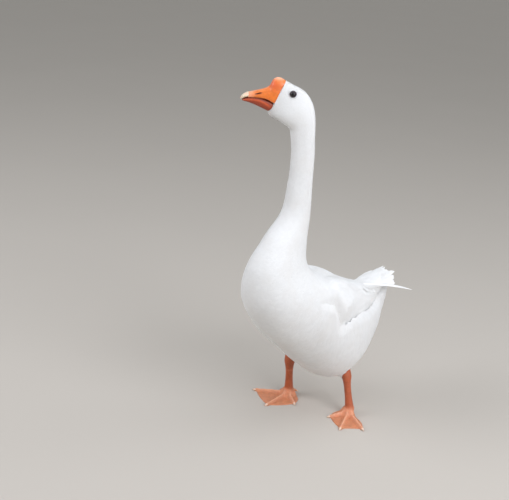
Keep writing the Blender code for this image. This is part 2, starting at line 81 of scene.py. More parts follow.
# Stations of the body, tail end first: back (y, z), belly (y, z), half width, fullness to the belly.
BODY = (
    (0.230, 0.2860, 0.236, 0.2730, 0.012, 0.0),
    (0.195, 0.2820, 0.211, 0.2350, 0.029, 0.0),
    (0.158, 0.2800, 0.178, 0.1900, 0.043, 0.0),
    (0.123, 0.2880, 0.139, 0.1500, 0.058, 0.03),
    (0.084, 0.3060, 0.089, 0.1220, 0.077, 0.06),
    (0.038, 0.3315, 0.040, 0.0990, 0.095, 0.06),
    (-0.010, 0.3545, -0.016, 0.0885, 0.104, 0.03),
    (-0.048, 0.3745, -0.079, 0.1275, 0.104, -0.02),
    (-0.080, 0.3835, -0.147, 0.1850, 0.096, -0.08),
    (-0.103, 0.3885, -0.229, 0.2530, 0.089, -0.10),
    (-0.122, 0.3990, -0.286, 0.3350, 0.075, 0.03),
    (-0.1275, 0.4240, -0.2875, 0.4150, 0.053, 0.22),
    (-0.1285, 0.4680, -0.2480, 0.4800, 0.0385, 0.14),
    (-0.1275, 0.5250, -0.1965, 0.5320, 0.0305, 0.04),
    (-0.1300, 0.6000, -0.1845, 0.6000, 0.0272, 0.0),
    (-0.1305, 0.6650, -0.1830, 0.6650, 0.0260, 0.0),
)
# Stations of the head, nape first, their points measured forward and up from the eye.
HEAD = (
    (-0.0560, -0.0920, -0.0020, -0.0950, 0.0268, 0.0),
    (-0.0540, -0.0620, 0.0010, -0.0785, 0.0278, 0.05),
    (-0.0500, -0.0350, 0.0060, -0.0722, 0.0292, 0.12),
    (-0.0415, -0.0125, 0.0130, -0.0680, 0.0298, 0.18),
    (-0.0280, 0.0050, 0.0215, -0.0630, 0.0292, 0.22),
    (-0.0135, 0.0145, 0.0300, -0.0585, 0.0275, 0.20),
    (0.0010, 0.0205, 0.0405, -0.0552, 0.0245, 0.14),
    (0.0185, 0.0290, 0.0500, -0.0478, 0.0184, 0.06),
)
FACE = 23.0  # the last station, where the bill begins
# Past it the face closes inside the bill: its swell and the way of it, how much its ring shrinks and by
# what power, and how many times more the chin swells, from which angle and over how much.
CAP_DOME, CAP_WAY = 0.0035, (0.0, -1.0, 0.30)
CAP_SHRINK, CAP_POWER = 0.97, 1.3
CHIN_SWELL, CHIN_FROM, CHIN_RUN = 3.2, 2.1, 0.8

# Height of the feathers' surface over the skin, by place.
COAT_DEPTH = ((0, 0.0024), (3, 0.0026), (10, 0.0024), (12, 0.0018), (15, 0.0014), (18, 0.0011), (24, 0.0008))

# Folded wing: its length runs along the stations and its width round the ring, in degrees.
WING_SHOULDER, WING_TIP = 9.55, 1.75
WING_TOP = ((0.0, 50), (0.12, 30), (0.60, 17), (1.0, 26))
WING_LOW = (
    (0.0, 62), (0.10, 85), (0.20, 97), (0.27, 103), (0.36, 94), (0.58, 78), (0.75, 70), (0.88, 64), (1.0, 58),
)
WING_RISE, WING_SINK = 0.0122, 0.0022  # height of the wing's middle, and depth of its tucked edge
WING_TUCK = 0.052  # distance over which the wing turns in to that edge
WING_LEAD, WING_EDGE = 0.10, 0.034  # the upper edge starts that angle early, and rises over that distance
WING_RISES, WING_FALLS = (0.035, 0.15), (1.04, -0.20)  # ramps by share of the wing's length
# Line of the flank feathers' upper edge over the wing: place and degrees. It dips between two lobes.
FLANK_LINE = (
    (1.4, 54), (2.27, 60.5), (4.26, 67), (6.01, 72.5), (6.60, 78.5), (7.05, 86), (7.45, 95),
    (7.75, 88), (8.10, 77), (8.60, 78), (9.20, 83), (9.8, 88),
)
FLANK_RISE, FLANK_SPREAD, FLANK_EDGE, FLANK_CREST = 0.0070, 0.080, 0.024, 0.010
BODY_ROUND = 0.105  # metres in a radian round the body's side

# Bed of the tail coverts: height by place, and half its width as an angle.
RUMP_RISE = (
    (0.0, 0.0300), (1.0, 0.0295), (2.0, 0.0250), (3.15, 0.0135), (3.9, 0.0092), (4.6, 0.0040), (5.5, 0.0),
)
RUMP_HALF = ((1.0, 1.0), (2.0, 0.8), (3.15, 0.42), (5.4, 0.28))
RUMP_JOINS = (2.6, 0.6)  # ramp of places over which the skin and the body's feathers rise onto that bed

# Thighs: mounds of feathers from an oval rim on the belly down to a smaller one round the hock.
THIGH_AT = {"left": (0.066, 0.013), "right": (-0.080, -0.0295)}
HOCK_Z = 0.1040
THIGH_REACH = 0.027
THIGH_END = 0.1260  # height at which the thigh feathers give way to the bare hock
THIGH_RIM, THIGH_TOP, THIGH_HOCK = (0.0205, 0.0235), (0.0225, 0.0255), (0.0118, 0.0130)
THIGH_LEAST = 0.005  # least fall of a mound
THIGH_WAVES = 4  # waves kept of the rim's height round the leg

# ------------ sizes and colours for a user


def linear(hex_colour):
    """An sRGB hex colour as linear red, green and blue."""
    values = np.array([int(hex_colour[k : k + 2], 16) / 255 for k in (0, 2, 4)])
    return tuple(np.where(values <= 0.04045, values / 12.92, ((values + 0.055) / 1.055) ** 2.4))


def option(name, description, default, **more):
    """A number that a user may change."""
    return bpy.props.FloatProperty(name=name, description=description, default=default, **more)


def length_option(name, description, default):
    """A length that a user may change, in metres."""
    return option(name, description, default, min=0.0, unit="LENGTH")


def angle_option(name, description, degrees):
    """An angle that a user may change, given in degrees."""
    return option(name, description, math.radians(degrees), unit="ROTATION")


def vector_option(name, description, default, subtype, **more):
    """Three numbers that a user may change."""
    return bpy.props.FloatVectorProperty(
        name=name, description=description, default=default, subtype=subtype, **more
    )


def colour_option(name, description, default):
    """A colour that a user may change, given in hex."""
    return vector_option(name, description, linear(default), "COLOR", min=0, max=1)


class GOOSE_PG_sizes(bpy.types.PropertyGroup):
    """Sizes of feathers and eyes"""

    head_feather: length_option("Head feather", "Length of the feathers on the crown and cheek", 0.0072)
    neck_feather: length_option("Neck feather", "Length of the feathers half way up the neck", 0.0150)
    breast_feather: length_option("Breast feather", "Length of the feathers on the breast", 0.0270)
    flank_feather: length_option("Flank feather", "Length of the feathers on the flank and belly", 0.0330)
    covert: length_option("Wing covert", "Length of the small coverts at the bend of the wing", 0.0210)
    secondary: length_option("Secondary", "Length of the wing's secondaries and tertials", 0.1050)
    primary: length_option("Primary", "Length of the folded primaries that show", 0.1450)
    eye_opening: length_option("Eye opening", "Radius of the opening between the lids", 0.0060)
    seed: bpy.props.IntProperty(name="Seed", description="Start of the random draws", default=7, min=0)


class GOOSE_PG_colours(bpy.types.PropertyGroup):
    """Colours of feathers, skin and horn"""

    feather: colour_option("Feather", "White of the vanes", "F6F5F3")
    down: colour_option("Down", "White of the skin's down between the vanes", "EFECE8")
    bill: colour_option("Bill", "Orange of the upper bill", "E8792A")
    knob: colour_option("Knob", "Redder orange of the knob", "E0683A")
    # The lower bill's own red brown, darkened as painted shade under the upper bill.
    lower_bill_and_shade: colour_option("Gape", "Red brown of the lower bill and the mouth", "9C3C1A")
    nail: colour_option("Nail", "Cream of the bill's nail", "EBD3B6")
    leg: colour_option("Leg", "Orange of the shanks", "BC603A")
    web: colour_option("Web", "Lighter orange of the webs", "E4956C")
    # This paler colour also paints a highlight on the right shank's fold of skin.
    ridge: colour_option("PaleToeAndFoldHighlight", "Paler orange of the toes", "F0B08C")
    claw: colour_option("Claw", "Horn of the claws", "EBCBB4")
    iris: colour_option("Iris", "Brown of the iris", "1C1218")
    lid: colour_option("Lid", "Edge of the eyelids", "574A50")


class GOOSE_PG_stage(bpy.types.PropertyGroup):
    """The camera and the floor"""

    camera: vector_option("Camera", "Place of the camera", (1.459, -2.022, 1.24), "XYZ", unit="LENGTH")
    heading: angle_option("Heading", "Turn of the view to the left of +Y", 40)
    pitch: angle_option("Pitch", "Tilt of the view below the horizon", 18.7)
    roll: angle_option("Roll", "Turn of the camera about its view", 4.6)
    lens: option("Lens", "Focal length for a 36 mm wide sensor", 77.8, min=1.0, unit="CAMERA")
    floor: colour_option("Floor", "Pale floor", "BEB7AE")


# ------------ curves and surfaces
def ramp(x, start=0.0, run=1.0):
    """0 up to the start and 1 past the run, by 3t^2 - 2t^3 between. A negative run falls instead."""
    t = np.clip((x - start) / run, 0, 1)
    return t * t * (3 - 2 * t)


def bell(x, width):
    """1 in the middle, falling away to both sides by a Gaussian of that width."""
    return np.exp(-((x / width) ** 2))


def table_at(table, at):
    """A value from a table of (place, value) pairs, along straight lines between them."""
    return np.interp(at, *np.transpose(table))


def spline(rows, at):
    """Catmull-Rom through the rows of a table, at places counted in rows. It runs on a little past
    both ends."""
    rows = np.asarray(rows, float)
    at = np.clip(np.asarray(at, float), -0.6, len(rows) - 0.5)
    padded = np.vstack([2 * rows[0] - rows[1], rows, 2 * rows[-1] - rows[-2]])
    start = np.clip(np.floor(at).astype(int), 0, len(rows) - 2)
    t = (at - start)[..., None]
    a, b, c, d = (padded[start + k] for k in range(4))
    return b + 0.5 * t * (c - a + t * (2 * a - 5 * b + 4 * c - d + t * (3 * (b - c) + d - a)))


def from_eye(forward, up):
    """Head measurements to (y, z)."""
    return EYE_Y - forward, EYE_Z + up


def head_rows(table):
    """A table measured from the eye, with its points as (y, z)."""
    return [(*from_eye(*row[0:2]), *from_eye(*row[2:4]), *row[4:]) for row in table]


STATIONS = list(BODY) + head_rows(HEAD)


def turned(points):
    """The head's turn: each point goes round the neck's axis, by more the higher it is."""
    points = np.asarray(points, float)
    turn = -math.radians(TURN_DEGREES) * ramp(points[..., 2], TURN_FROM, TURN_TO - TURN_FROM)
    x, y = points[..., 0], points[..., 1] - NECK_Y
    cos, sin = np.cos(turn), np.sin(turn)
    return np.stack([x * cos - y * sin, x * sin + y * cos + NECK_Y, points[..., 2]], -1)


def ring_points(rows, angle, power):
    """Points of the rings of a table's rows: angle 0 is the back, a quarter turn the bird's left.
    A ring is a rounded ellipse, |cos|^power by |sin|^power, wider towards the belly or the back."""
    top, low = rows[..., 0:2], rows[..., 2:4]
    cos, sin = np.cos(angle), np.sin(angle)
    height = np.sign(cos) * np.abs(cos) ** power
    side = np.sign(sin) * np.abs(sin) ** power * (1 - rows[..., 5] * cos)
    middle = (top + low) / 2 + height[..., None] * (top - low) / 2
    return np.stack([side * np.maximum(rows[..., 4], LEAST_HALF), middle[..., 0], middle[..., 1]], -1)


def body(place, angle):
    """The body's surface at a place and an angle. Past the face the ring shrinks to its middle while
    it moves forward by a quarter wave, which closes the face as a shallow dome."""
    place, angle = np.broadcast_arrays(np.asarray(place, float), np.asarray(angle, float))
    points = ring_points(spline(STATIONS, np.minimum(place, FACE)), angle, BODY_POWER)
    past = np.clip(place - FACE, 0, 1)[..., None]
    face = np.asarray(STATIONS[-1])
    middle = np.array((0.0, (face[0] + face[2]) / 2, (face[1] + face[3]) / 2))
    points = middle + (points - middle) * (1 - CAP_SHRINK * past**CAP_POWER)
    chin = 1 + CHIN_SWELL * ramp(fold(angle), CHIN_FROM, CHIN_RUN)[..., None]
    return turned(points + np.array(CAP_WAY) * CAP_DOME * chin * np.sin(past * math.pi / 2))


def lengths(vectors):
    """How long each vector is."""
    return np.linalg.norm(vectors, axis=-1)


def unit(vectors):
    """Vectors brought to length 1."""
    return vectors / np.maximum(lengths(vectors)[..., None], 1e-12)


def normals_of(surface, place, angle, step):
    """Outward unit normals of a surface, from differences along and round it."""
    along = surface(place + step, angle) - surface(place - step, angle)
    around = surface(place, angle + step) - surface(place, angle - step)
    return unit(np.cross(along, around))


def wrapped(angle):
    """The same angle between half a turn back and half a turn on."""
    return (angle + math.pi) % TURN - math.pi


def fold(angle):
    """Angle from the middle of the back, 0 to half a turn, whichever side it is on."""
    return np.abs(wrapped(angle))


def outwards(angle):
    """The way round the ring that leads down from the back: 1 on the left side, -1 on the right."""
    return np.where(angle % TURN < math.pi, 1, -1)


def wing_share(place):
    """Share of the wing's length, shoulder 0 to tip 1."""
    return (WING_SHOULDER - place) / (WING_SHOULDER - WING_TIP)


def below_flank_line(place, angle):
    """Distance below the upper edge of the flank feathers, in metres. It is negative on the wing."""
    return (fold(angle) - np.radians(table_at(FLANK_LINE, place))) * BODY_ROUND


def wing_window(place):
    """1 along the wing's length, falling to 0 at its shoulder and past its tip."""
    share = wing_share(place)
    return ramp(share, *WING_RISES) * ramp(share, *WING_FALLS)


def wing_height(place, angle):
    """Height of the folded wing over the body: a swell that falls away to the back at its upper
    edge, and turns in to a tucked lower edge under the flank feathers."""
    top = np.radians(table_at(WING_TOP, wing_share(place)))
    over = ramp((fold(angle) - top + WING_LEAD) * BODY_ROUND / WING_EDGE)
    tuck = ramp(-below_flank_line(place, angle) / WING_TUCK)
    return wing_window(place) * ((WING_RISE + WING_SINK) * over * tuck - WING_SINK * (1 - tuck) * over)


def flank_height(place, angle):
    """Height of the flank's puffed feathers: a rounded lip along their upper edge over the wing, then
    a long Gaussian fall down the flank."""
    below = below_flank_line(place, angle)
    lip = ramp((below + 0.6 * FLANK_EDGE) / FLANK_EDGE)
    fall = bell(np.maximum(below - FLANK_CREST, 0), FLANK_SPREAD)
    return FLANK_RISE * wing_window(place) * lip * fall


def flesh_height(place, angle):
    """Height under the feathers: the wing above the flank's edge, and the puffed flank below it."""
    above = below_flank_line(place, angle) < 0
    return np.where(above, wing_height(place, angle), flank_height(place, angle))


def rump_height(place, angle):
    """Height of the tail coverts' bed: a ramp up the rump towards the tail's upper side."""
    half = table_at(RUMP_HALF, place)
    return table_at(RUMP_RISE, place) * (1 - ramp((fold(angle) / half - 0.45) / 0.75))


def rump_joined(place, angle):
    """The same bed for the skin and the body's feathers, which leave it out at the tail end."""
    return rump_height(place, angle) * ramp(place, *RUMP_JOINS)


def body_bed(place, angle):
    """Height of the skin's outer side: the wing and the flank, with the ramp on the rump."""
    return flesh_height(place, angle) + rump_joined(place, angle)


def flat_bed(place, angle):
    """No height at all."""
    return np.zeros(np.broadcast(place, angle).shape)


def laid(base, bed, step=0.02):
    """A surface function of place, angle and height, above a base surface with that bed on it."""

    def surface(place, angle, height=0.0):
        place, angle, height = np.broadcast_arrays(place, angle, height)
        normal = normals_of(base, place, angle, step)
        return base(place, angle) + (bed(place, angle) + height)[..., None] * normal

    return surface


# ------------ meshes
CREASE = math.radians(60)  # edges sharper than this stay sharp


def facing_out(points, faces):
    """Faces turned round if the mesh they close has a negative volume."""
    volume = 0.0
    for group in faces:
        for k in range(1, group.shape[1] - 1):
            a, b, c = points[group[:, 0]], points[group[:, k]], points[group[:, k + 1]]
            volume += np.einsum("ij,ij->i", a, np.cross(b, c)).sum()
    return [group[:, ::-1] for group in faces] if volume < 0 else faces


def fitted(values, count):
    """One number for each of a piece's points, from one for all, from one for each, or from one for
    each ring point, with the means of the first and the last ring for the two end points."""
    values = np.asarray(values, float)
    if values.size in (1, count):
        return np.broadcast_to(values, count)
    return np.concatenate([values.ravel(), [values[0].mean(), values[-1].mean()]])


def add_piece(name, shape, finish, stands_for=(), maps=None, tones=None):
    """A piece from its shape, which is points and groups of faces, riding on the body. Maps are named
    UV arrays, one to a point, and tones are named numbers."""
    points, faces = shape
    points = np.asarray(points, float).reshape(-1, 3) - (*ORIGIN, 0)
    faces = facing_out(points, [np.asarray(group, np.int32) for group in faces if len(group)])
    corners = np.concatenate([group.ravel() for group in faces])
    sizes = np.concatenate([np.full(len(group), group.shape[1], np.int32) for group in faces])
    mesh = bpy.data.meshes.new(name)
    mesh.vertices.add(len(points))
    mesh.vertices.foreach_set("co", points.astype(np.float32).ravel())
    mesh.loops.add(len(corners))
    mesh.loops.foreach_set("vertex_index", corners)
    mesh.polygons.add(len(sizes))
    mesh.polygons.foreach_set("loop_start", (np.cumsum(sizes) - sizes).astype(np.int32))
    mesh.update(calc_edges=True)
    if mesh.validate():
        raise RuntimeError(f"{name}: its mesh had faults")
    mesh.shade_smooth()
    mesh.set_sharp_from_angle(angle=CREASE)
    for map_name, values in (maps or {}).items():
        layer = mesh.uv_layers.new(name=map_name)
        layer.uv.foreach_set("vector", np.asarray(values, np.float32)[corners].ravel())
    for tone_name, values in (tones or {}).items():
        attribute = mesh.attributes.new(tone_name, "FLOAT", "POINT")
        attribute.data.foreach_set("value", fitted(values, len(points)).astype(np.float32))
    mesh.materials.append(finish)
    piece = bpy.data.objects.new(name, mesh)
    bpy.context.scene.collection.objects.link(piece)
    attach(piece, "root")
    if stands_for:
        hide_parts(*stands_for)


def grid_quads(rows, columns, ring=False):
    """Quads of a grid of points stored row by row, closed round its columns, and round its rows too
    where they make a ring."""
    r, c = np.meshgrid(np.arange(rows if ring else rows - 1), np.arange(columns), indexing="ij")
    after = (c + 1) % columns
    here, above = r * columns, (r + 1) % rows * columns
    return np.stack([here + c, here + after, above + after, above + c], -1).reshape(-1, 4)


def closed_loft(rings):
    """Points and faces of a closed body through rings (ring, point, xyz), with a fan at each end."""
    rings = np.asarray(rings, float)
    count, around = rings.shape[:2]
    points = np.vstack([rings.reshape(-1, 3), rings[0].mean(0), rings[-1].mean(0)])
    k = np.arange(around)
    after = (k + 1) % around
    last = (count - 1) * around
    near = np.stack([np.full(around, count * around), after, k], -1)
    far = np.stack([np.full(around, count * around + 1), last + k, last + after], -1)
    return points, [grid_quads(count, around), np.vstack([near, far])]


def joined(parts):
    """Several (points, faces) as one."""
    points, groups, total = [], [], 0
    for part_points, part_faces in parts:
        points.append(part_points)
        groups += [group + total for group in part_faces]
        total += len(part_points)
    return np.vstack(points), groups


def circle(count):
    """Angles of that many points spaced evenly round a circle."""
    return np.arange(count) * TURN / count


# ------------ feathers
# A vane's form: shares along it, its half width there, and its points across.
SMALL_VANE = ((0.0, 0.38, 0.78, 1.0), (0.55, 0.95, 0.88, 0.22), (-1, 0, 1))
CONTOUR_VANE = (
    (0.0, 0.28, 0.52, 0.72, 0.86, 0.95, 1.0),
    (0.35, 0.74, 0.95, 1.0, 0.87, 0.60, 0.24),
    (-1, -0.5, 0, 0.5, 1),
)
FLIGHT_VANE = (
    (0.0, 0.08, 0.2, 0.35, 0.5, 0.65, 0.78, 0.88, 0.95, 1.0),
    (0.16, 0.42, 0.78, 0.95, 1.0, 1.0, 0.95, 0.82, 0.58, 0.18),
    (-1, -0.55, -0.12, 0, 0.12, 0.55, 1),
)
LOOSE_VANE = (
    (0.0, 0.10, 0.22, 0.34, 0.46, 0.58, 0.70, 0.80, 0.88, 0.95, 1.0),
    (0.22, 0.55, 0.85, 0.98, 1.0, 0.97, 0.88, 0.74, 0.56, 0.34, 0.10),
    (-1, -0.55, -0.14, 0, 0.14, 0.55, 1),
)
MOST_SKEW = 0.03  # more would fold the narrow quads at a vane's tip
RISE_POWER = 1.4
SHAFT_HALF = 0.10  # half width of a shaft's ridge, as a share of the vane's half width


def vane_faces(stations, across):
    """Quads round one closed vane, whose ring is its upper points and one lower point, and the
    triangles that shut its two ends from that lower point."""
    ring = across + 1
    k = np.arange(across - 1)
    low = np.full(across - 1, across)
    last = (stations - 1) * ring
    ends = np.vstack([np.stack([low, k + 1, k], -1), np.stack([low, k, k + 1], -1) + last])
    return grid_quads(stations, ring), ends


def each(values):
    """One value for each feather, made to fit an array of (feather, along, across)."""
    return values[:, None, None]


def lay(surface, place, angle, length, width, vane, rng, way=-1, step=(0.02, 0.02), turn=0.0,
        sink=0.003, lift=0.0, base=0.0, thick=0.0003, camber=0.008, fray=0.03, loose=0.00006, shaft=0.0):
    """Feathers laid on a surface of (place, angle, height), one for each root.

    A vane's point at share u along and v across goes from its root by length*u down the lie and by
    half width*v to the side, turned by its own small angle. Its height climbs from -sink at the root
    to lift at the tip, over the roots of the feathers behind it, and is arched across by camber."""
    shares, halves, across = (np.array(row, float) for row in vane)
    count = len(place)
    length, width, turn, lift, base, sink = (
        np.broadcast_to(value, count).astype(float) for value in (length, width, turn, lift, base, sink)
    )

    def speeds(at, round_at):
        ahead = surface(at + step[0], round_at) - surface(at - step[0], round_at)
        beside = surface(at, round_at + step[1]) - surface(at, round_at - step[1])
        return (np.maximum(lengths(move) / (2 * size), 1e-4) for move, size in zip((ahead, beside), step))

    along, _ = speeds(place, angle)
    along, around = speeds(place + way * 0.5 * length / along, angle)
    ring_v = np.append(across, 0.0)
    upper = np.append(np.ones(len(across), bool), False)
    u = np.broadcast_to(shares[None, :, None], (count, len(shares), len(ring_v)))
    v = np.broadcast_to(ring_v[None, None, :], u.shape)
    skew = np.clip(rng.normal(0, fray, (2, count, 1, 1)), -MOST_SKEW, MOST_SKEW)
    ragged = (skew[0] * v + skew[1] * v**2) * ramp(u, 0.5, 0.5)
    run = each(length) * (u + ragged)
    off = each(width) / 2 * halves[None, :, None] * v
    cos, sin = each(np.cos(turn)), each(np.sin(turn))
    at = each(place) + way * (run * cos - off * sin) / each(along)
    round_at = each(angle) + (run * sin + off * cos) / each(around)
    tip = lift + rng.normal(0, loose, count)
    height = each(base - sink) + each(sink + tip) * (1 - (1 - u) ** RISE_POWER)
    arch = camber * each(width) * (1 - v**2) * halves[None, :, None]
    ridge = shaft * bell(v, SHAFT_HALF) * (1 - 0.8 * u)
    height = height + np.where(upper, arch + ridge, -thick * (1 - 0.7 * u))
    per = len(shares) * len(ring_v)
    faces = [
        (group[None] + each(np.arange(count) * per)).reshape(-1, group.shape[1])
        for group in vane_faces(len(shares), len(across))
    ]
    return {
        "shape": (surface(at, round_at, height).reshape(-1, 3), faces),
        "root": np.repeat(np.stack([angle / TURN, place / BAKE_PLACES], -1), per, axis=0),
        "vane": np.stack([u, 0.5 + 0.5 * v], -1).reshape(-1, 2),
        "tone": np.repeat(rng.random(count), per),
    }


def add_coat(name, finish, batches, stands_for=()):
    """Batches of feathers as one piece. In the bake map a feather is a small patch at its root's
    place on the skin's own grid of angle by place."""
    keys = ("root", "vane", "tone")
    root, vane, tone = (np.concatenate([batch[key] for batch in batches]) for key in keys)
    patch = root % 1.0 * (1 - 2 * PATCH) + PATCH + (vane[:, ::-1] - 0.5) * PATCH
    maps = {BAKE_MAP: patch, VANE_MAP: vane}
    shape = joined([batch["shape"] for batch in batches])
    add_piece(name, shape, finish, stands_for, maps, {"Tone": tone})


JITTER = 0.2  # how far a root strays, in spacings
FINE_PLACES, FINE_ANGLES = 300, 241  # points of the lines that spacings are measured along
SPARE = 1.6  # roots kept for each that a row needs, so that feathers overlap where the body narrows
BELOW_ONE = 0.999999


def roots(first, last, along, around, rng):
    """Roots in staggered rows between two places, spaced in metres. Rows are spaced on the longest
    line of the surface and thinned where it is shorter, and each row is spaced along its own arc."""
    fine = np.linspace(first, last, FINE_PLACES)
    angles = np.linspace(0, TURN, FINE_ANGLES)
    steps = lengths(np.diff(body(fine[:, None], angles[None, :]), axis=0))
    run = np.append(0, np.cumsum(steps.max(1)))
    rows = np.interp(np.arange(along / 2, run[-1], along), run, fine)
    rings = body(rows[:, None], angles[None, :])
    arc = np.cumsum(lengths(np.diff(rings, axis=1)), axis=1)
    arc = np.hstack([np.zeros((len(rows), 1)), arc])
    count = np.maximum(np.round(arc[:, -1] / around), 3).astype(int)
    row = np.repeat(np.arange(len(rows)), count)
    k = np.arange(count.sum()) - np.repeat(np.cumsum(count) - count, count)
    share = (k + 0.5 * (row % 2) + rng.uniform(-JITTER, JITTER, len(k))) / count[row] % 1.0
    flat = (np.arange(len(rows))[:, None] + arc / arc[:, -1:] * BELOW_ONE).ravel()
    angle = np.interp(row + share * BELOW_ONE, flat, np.tile(angles, len(rows)))
    row_step = np.gradient(rows)
    place = rows[row] + rng.uniform(-JITTER, JITTER, len(k)) * row_step[row]
    local = lengths(body(place + 0.02, angle) - body(place - 0.02, angle)) / 0.04
    keep = rng.random(len(k)) < local * row_step[row] / along * SPARE
    return place[keep], angle[keep]


# ------------ materials
# Colours in hex that a user has no need to change, and how far light of each colour goes into a finish.
# The brown black bill colour is painted shade in the nostrils, grooves, palate, mouth and under the upper
# bill.
# The pale bill colour is the paler tip and also a painted highlight on the knob's top and the ridge.
BILL_PALE_AND_HIGHLIGHT, BILL_SHADE, NAIL_RIM = "F2B391", "4E1A10", "8A5C3C"
PLATE_SEAM, DUST, CLAW_TIP = "7E3418", "9A6A4C", "7A5844"
PUPIL, EYE_RIM = "050405", "120C0E"
VANE_GLOW, SKIN_GLOW = (1.0, 0.9, 0.8), (1.0, 0.35, 0.15)
BARB_SLANT = -0.55  # a barb's line is share along plus this much of the share off the shaft
# Settings of a node that mixes colours, from socket 6 to 7 by socket 0, and of a soft change of range.
COLOURS = {"data_type": "RGBA"}
SMOOTH = {"interpolation_type": "SMOOTHSTEP"}


def fill(tree, node, inputs):
    """Sets a node's sockets: each takes a value, a colour or another node's output."""
    for key, value in inputs.items():
        socket = node.inputs[key]
        if isinstance(value, bpy.types.NodeSocket):
            tree.links.new(value, socket)
        else:
            socket.default_value = (*value, 1.0) if socket.type == "RGBA" else value


def add_node(tree, kind, inputs=None, **settings):
    """Adds a node with its settings and links, and returns its outputs."""
    made = tree.nodes.new("ShaderNode" + kind)
    for key, value in settings.items():
        setattr(made, key, value)
    fill(tree, made, inputs or {})
    return made.outputs


def new_finish(name, values):
    """A material with its shader's values set: returns it, the functions that add a node and that
    fill the shader's sockets, and the place of a point. A pattern's scale is 1000 over its size in mm."""
    made = bpy.data.materials.new(name)
    made.use_nodes = True
    tree = made.node_tree
    node, shader = partial(add_node, tree), partial(fill, tree, tree.nodes["Principled BSDF"])
    shader(values)
    return made, node, shader, node("TexCoord")["Object"]


def scaled(colour, by):
    """A colour with each channel multiplied, at most 1."""
    return tuple(min(1.0, channel * by) for channel in colour)


def feather_finish(name, colours, barb_step, barb_depth):
    """Feather keratin, unpigmented: a matt white vane of fine barbs that lets some light through, so
    its shadows are soft. Barbs are steps in share of the vane's length, drawn 1 to 5 mm apart where
    real ones are about 0.4 mm apart, so that they show. A finish that is there already is used."""
    if name in bpy.data.materials:
        return bpy.data.materials[name]
    made, node, shader, place = new_finish(
        name,
        {"Roughness": 0.62, "Subsurface Weight": 0.22, "Subsurface Scale": 0.006,
         "Subsurface Radius": VANE_GLOW, "Sheen Weight": 0.06, "IOR": 1.54},
    )
    cloud = node("TexNoise", {"Vector": place, "Scale": 1000 / 38, "Detail": 2.0})["Fac"]
    patch = node("MapRange", {"Value": cloud, "From Min": 0.40, "From Max": 0.66}, **SMOOTH)["Result"]
    tone = node("Attribute", attribute_name="Tone")["Fac"]
    white = node("Mix", {0: tone, 6: colours.feather, 7: scaled(colours.feather, 0.955)}, **COLOURS)[2]
    share = node("Math", {0: patch, 1: 0.45}, operation="MULTIPLY")[0]
    white = node("Mix", {0: share, 6: white, 7: colours.down}, **COLOURS)[2]
    vane = node("SeparateXYZ", {"Vector": node("UVMap", uv_map=VANE_MAP)["UV"]})
    off = node("Math", {0: vane["Y"], 1: 0.5}, operation="SUBTRACT")[0]
    side = node("Math", {0: off}, operation="ABSOLUTE")[0]
    slant = node("Math", {0: side, 1: BARB_SLANT, 2: vane["X"]}, operation="MULTIPLY_ADD")[0]
    drift = node("TexNoise", {"Vector": place, "Scale": 1000 / 6, "Detail": 3.0})["Fac"]
    wobble = node("Math", {0: drift, 1: 0.02, 2: slant}, operation="MULTIPLY_ADD")[0]
    turns = node("Math", {0: wobble, 1: TURN / barb_step}, operation="MULTIPLY")[0]
    barbs = node("Math", {0: turns}, operation="SINE")[0]
    normal = node("Bump", {"Height": barbs, "Distance": barb_depth, "Strength": 0.5})["Normal"]
    shader({"Base Color": white, "Normal": normal})
    return made


def contour_finish(colours):
    """The rounded feathers of the body and wings."""
    return feather_finish("contour feather", colours, 0.05, 0.00003)


def small_finish(colours):
    """The short feathers of the neck and head, whose barbs stand apart."""
    return feather_finish("neck and head feather", colours, 0.25, 0.00005)


def flight_finish(colours):
    """Stiff feathers, whose barbs are the nearest together and the clearest."""
    return feather_finish("flight feather", colours, 0.022, 0.00010)


def bill_finish(name, base, deep, roughness):
    """Skin-covered bill: a leathery orange with a soft shine, faint pores and blotches. It is redder
    where the Red tone is high, paler where Pale is, partly as a painted highlight, and brown black
    where its dark tone is, which is painted shade in its hollows, in the mouth and under the upper
    bill's edge."""
    made, node, shader, place = new_finish(
        name,
        {"Roughness": roughness, "Subsurface Weight": 0.12, "Subsurface Scale": 0.003, "IOR": 1.5,
         "Subsurface Radius": SKIN_GLOW, "Coat Weight": 0.12, "Coat Roughness": 0.3},
    )
    cloud = node("TexNoise", {"Vector": place, "Scale": 1000 / 7, "Detail": 4.0, "Roughness": 0.6})["Fac"]
    blotch = node("MapRange", {"Value": cloud, "From Min": 0.38, "From Max": 0.66}, **SMOOTH)["Result"]
    colour = node("Mix", {0: blotch, 6: base, 7: scaled(base, 0.86)}, **COLOURS)[2]
    # The dark tone is painted shade.
    # The pale tone is partly a painted highlight.
    for tone, towards in (("Red", deep), ("Pale", linear(BILL_PALE_AND_HIGHLIGHT)), ("DarkAndShade", linear(BILL_SHADE))):
        share = node("Attribute", attribute_name=tone)["Fac"]
        colour = node("Mix", {0: share, 6: colour, 7: towards}, **COLOURS)[2]
    pores = node("TexVoronoi", {"Vector": place, "Scale": 1000 / 0.9}, feature="F1")["Distance"]
    under = node("Bump", {"Height": pores, "Distance": 0.00008, "Strength": 0.35})["Normal"]
    grain = node("TexNoise", {"Vector": place, "Scale": 1000 / 3.5, "Detail": 4.0})["Fac"]
    grained = {"Height": grain, "Distance": 0.00025, "Strength": 0.5, "Normal": under}
    shader({"Base Color": colour, "Normal": node("Bump", grained)["Normal"]})
    return made


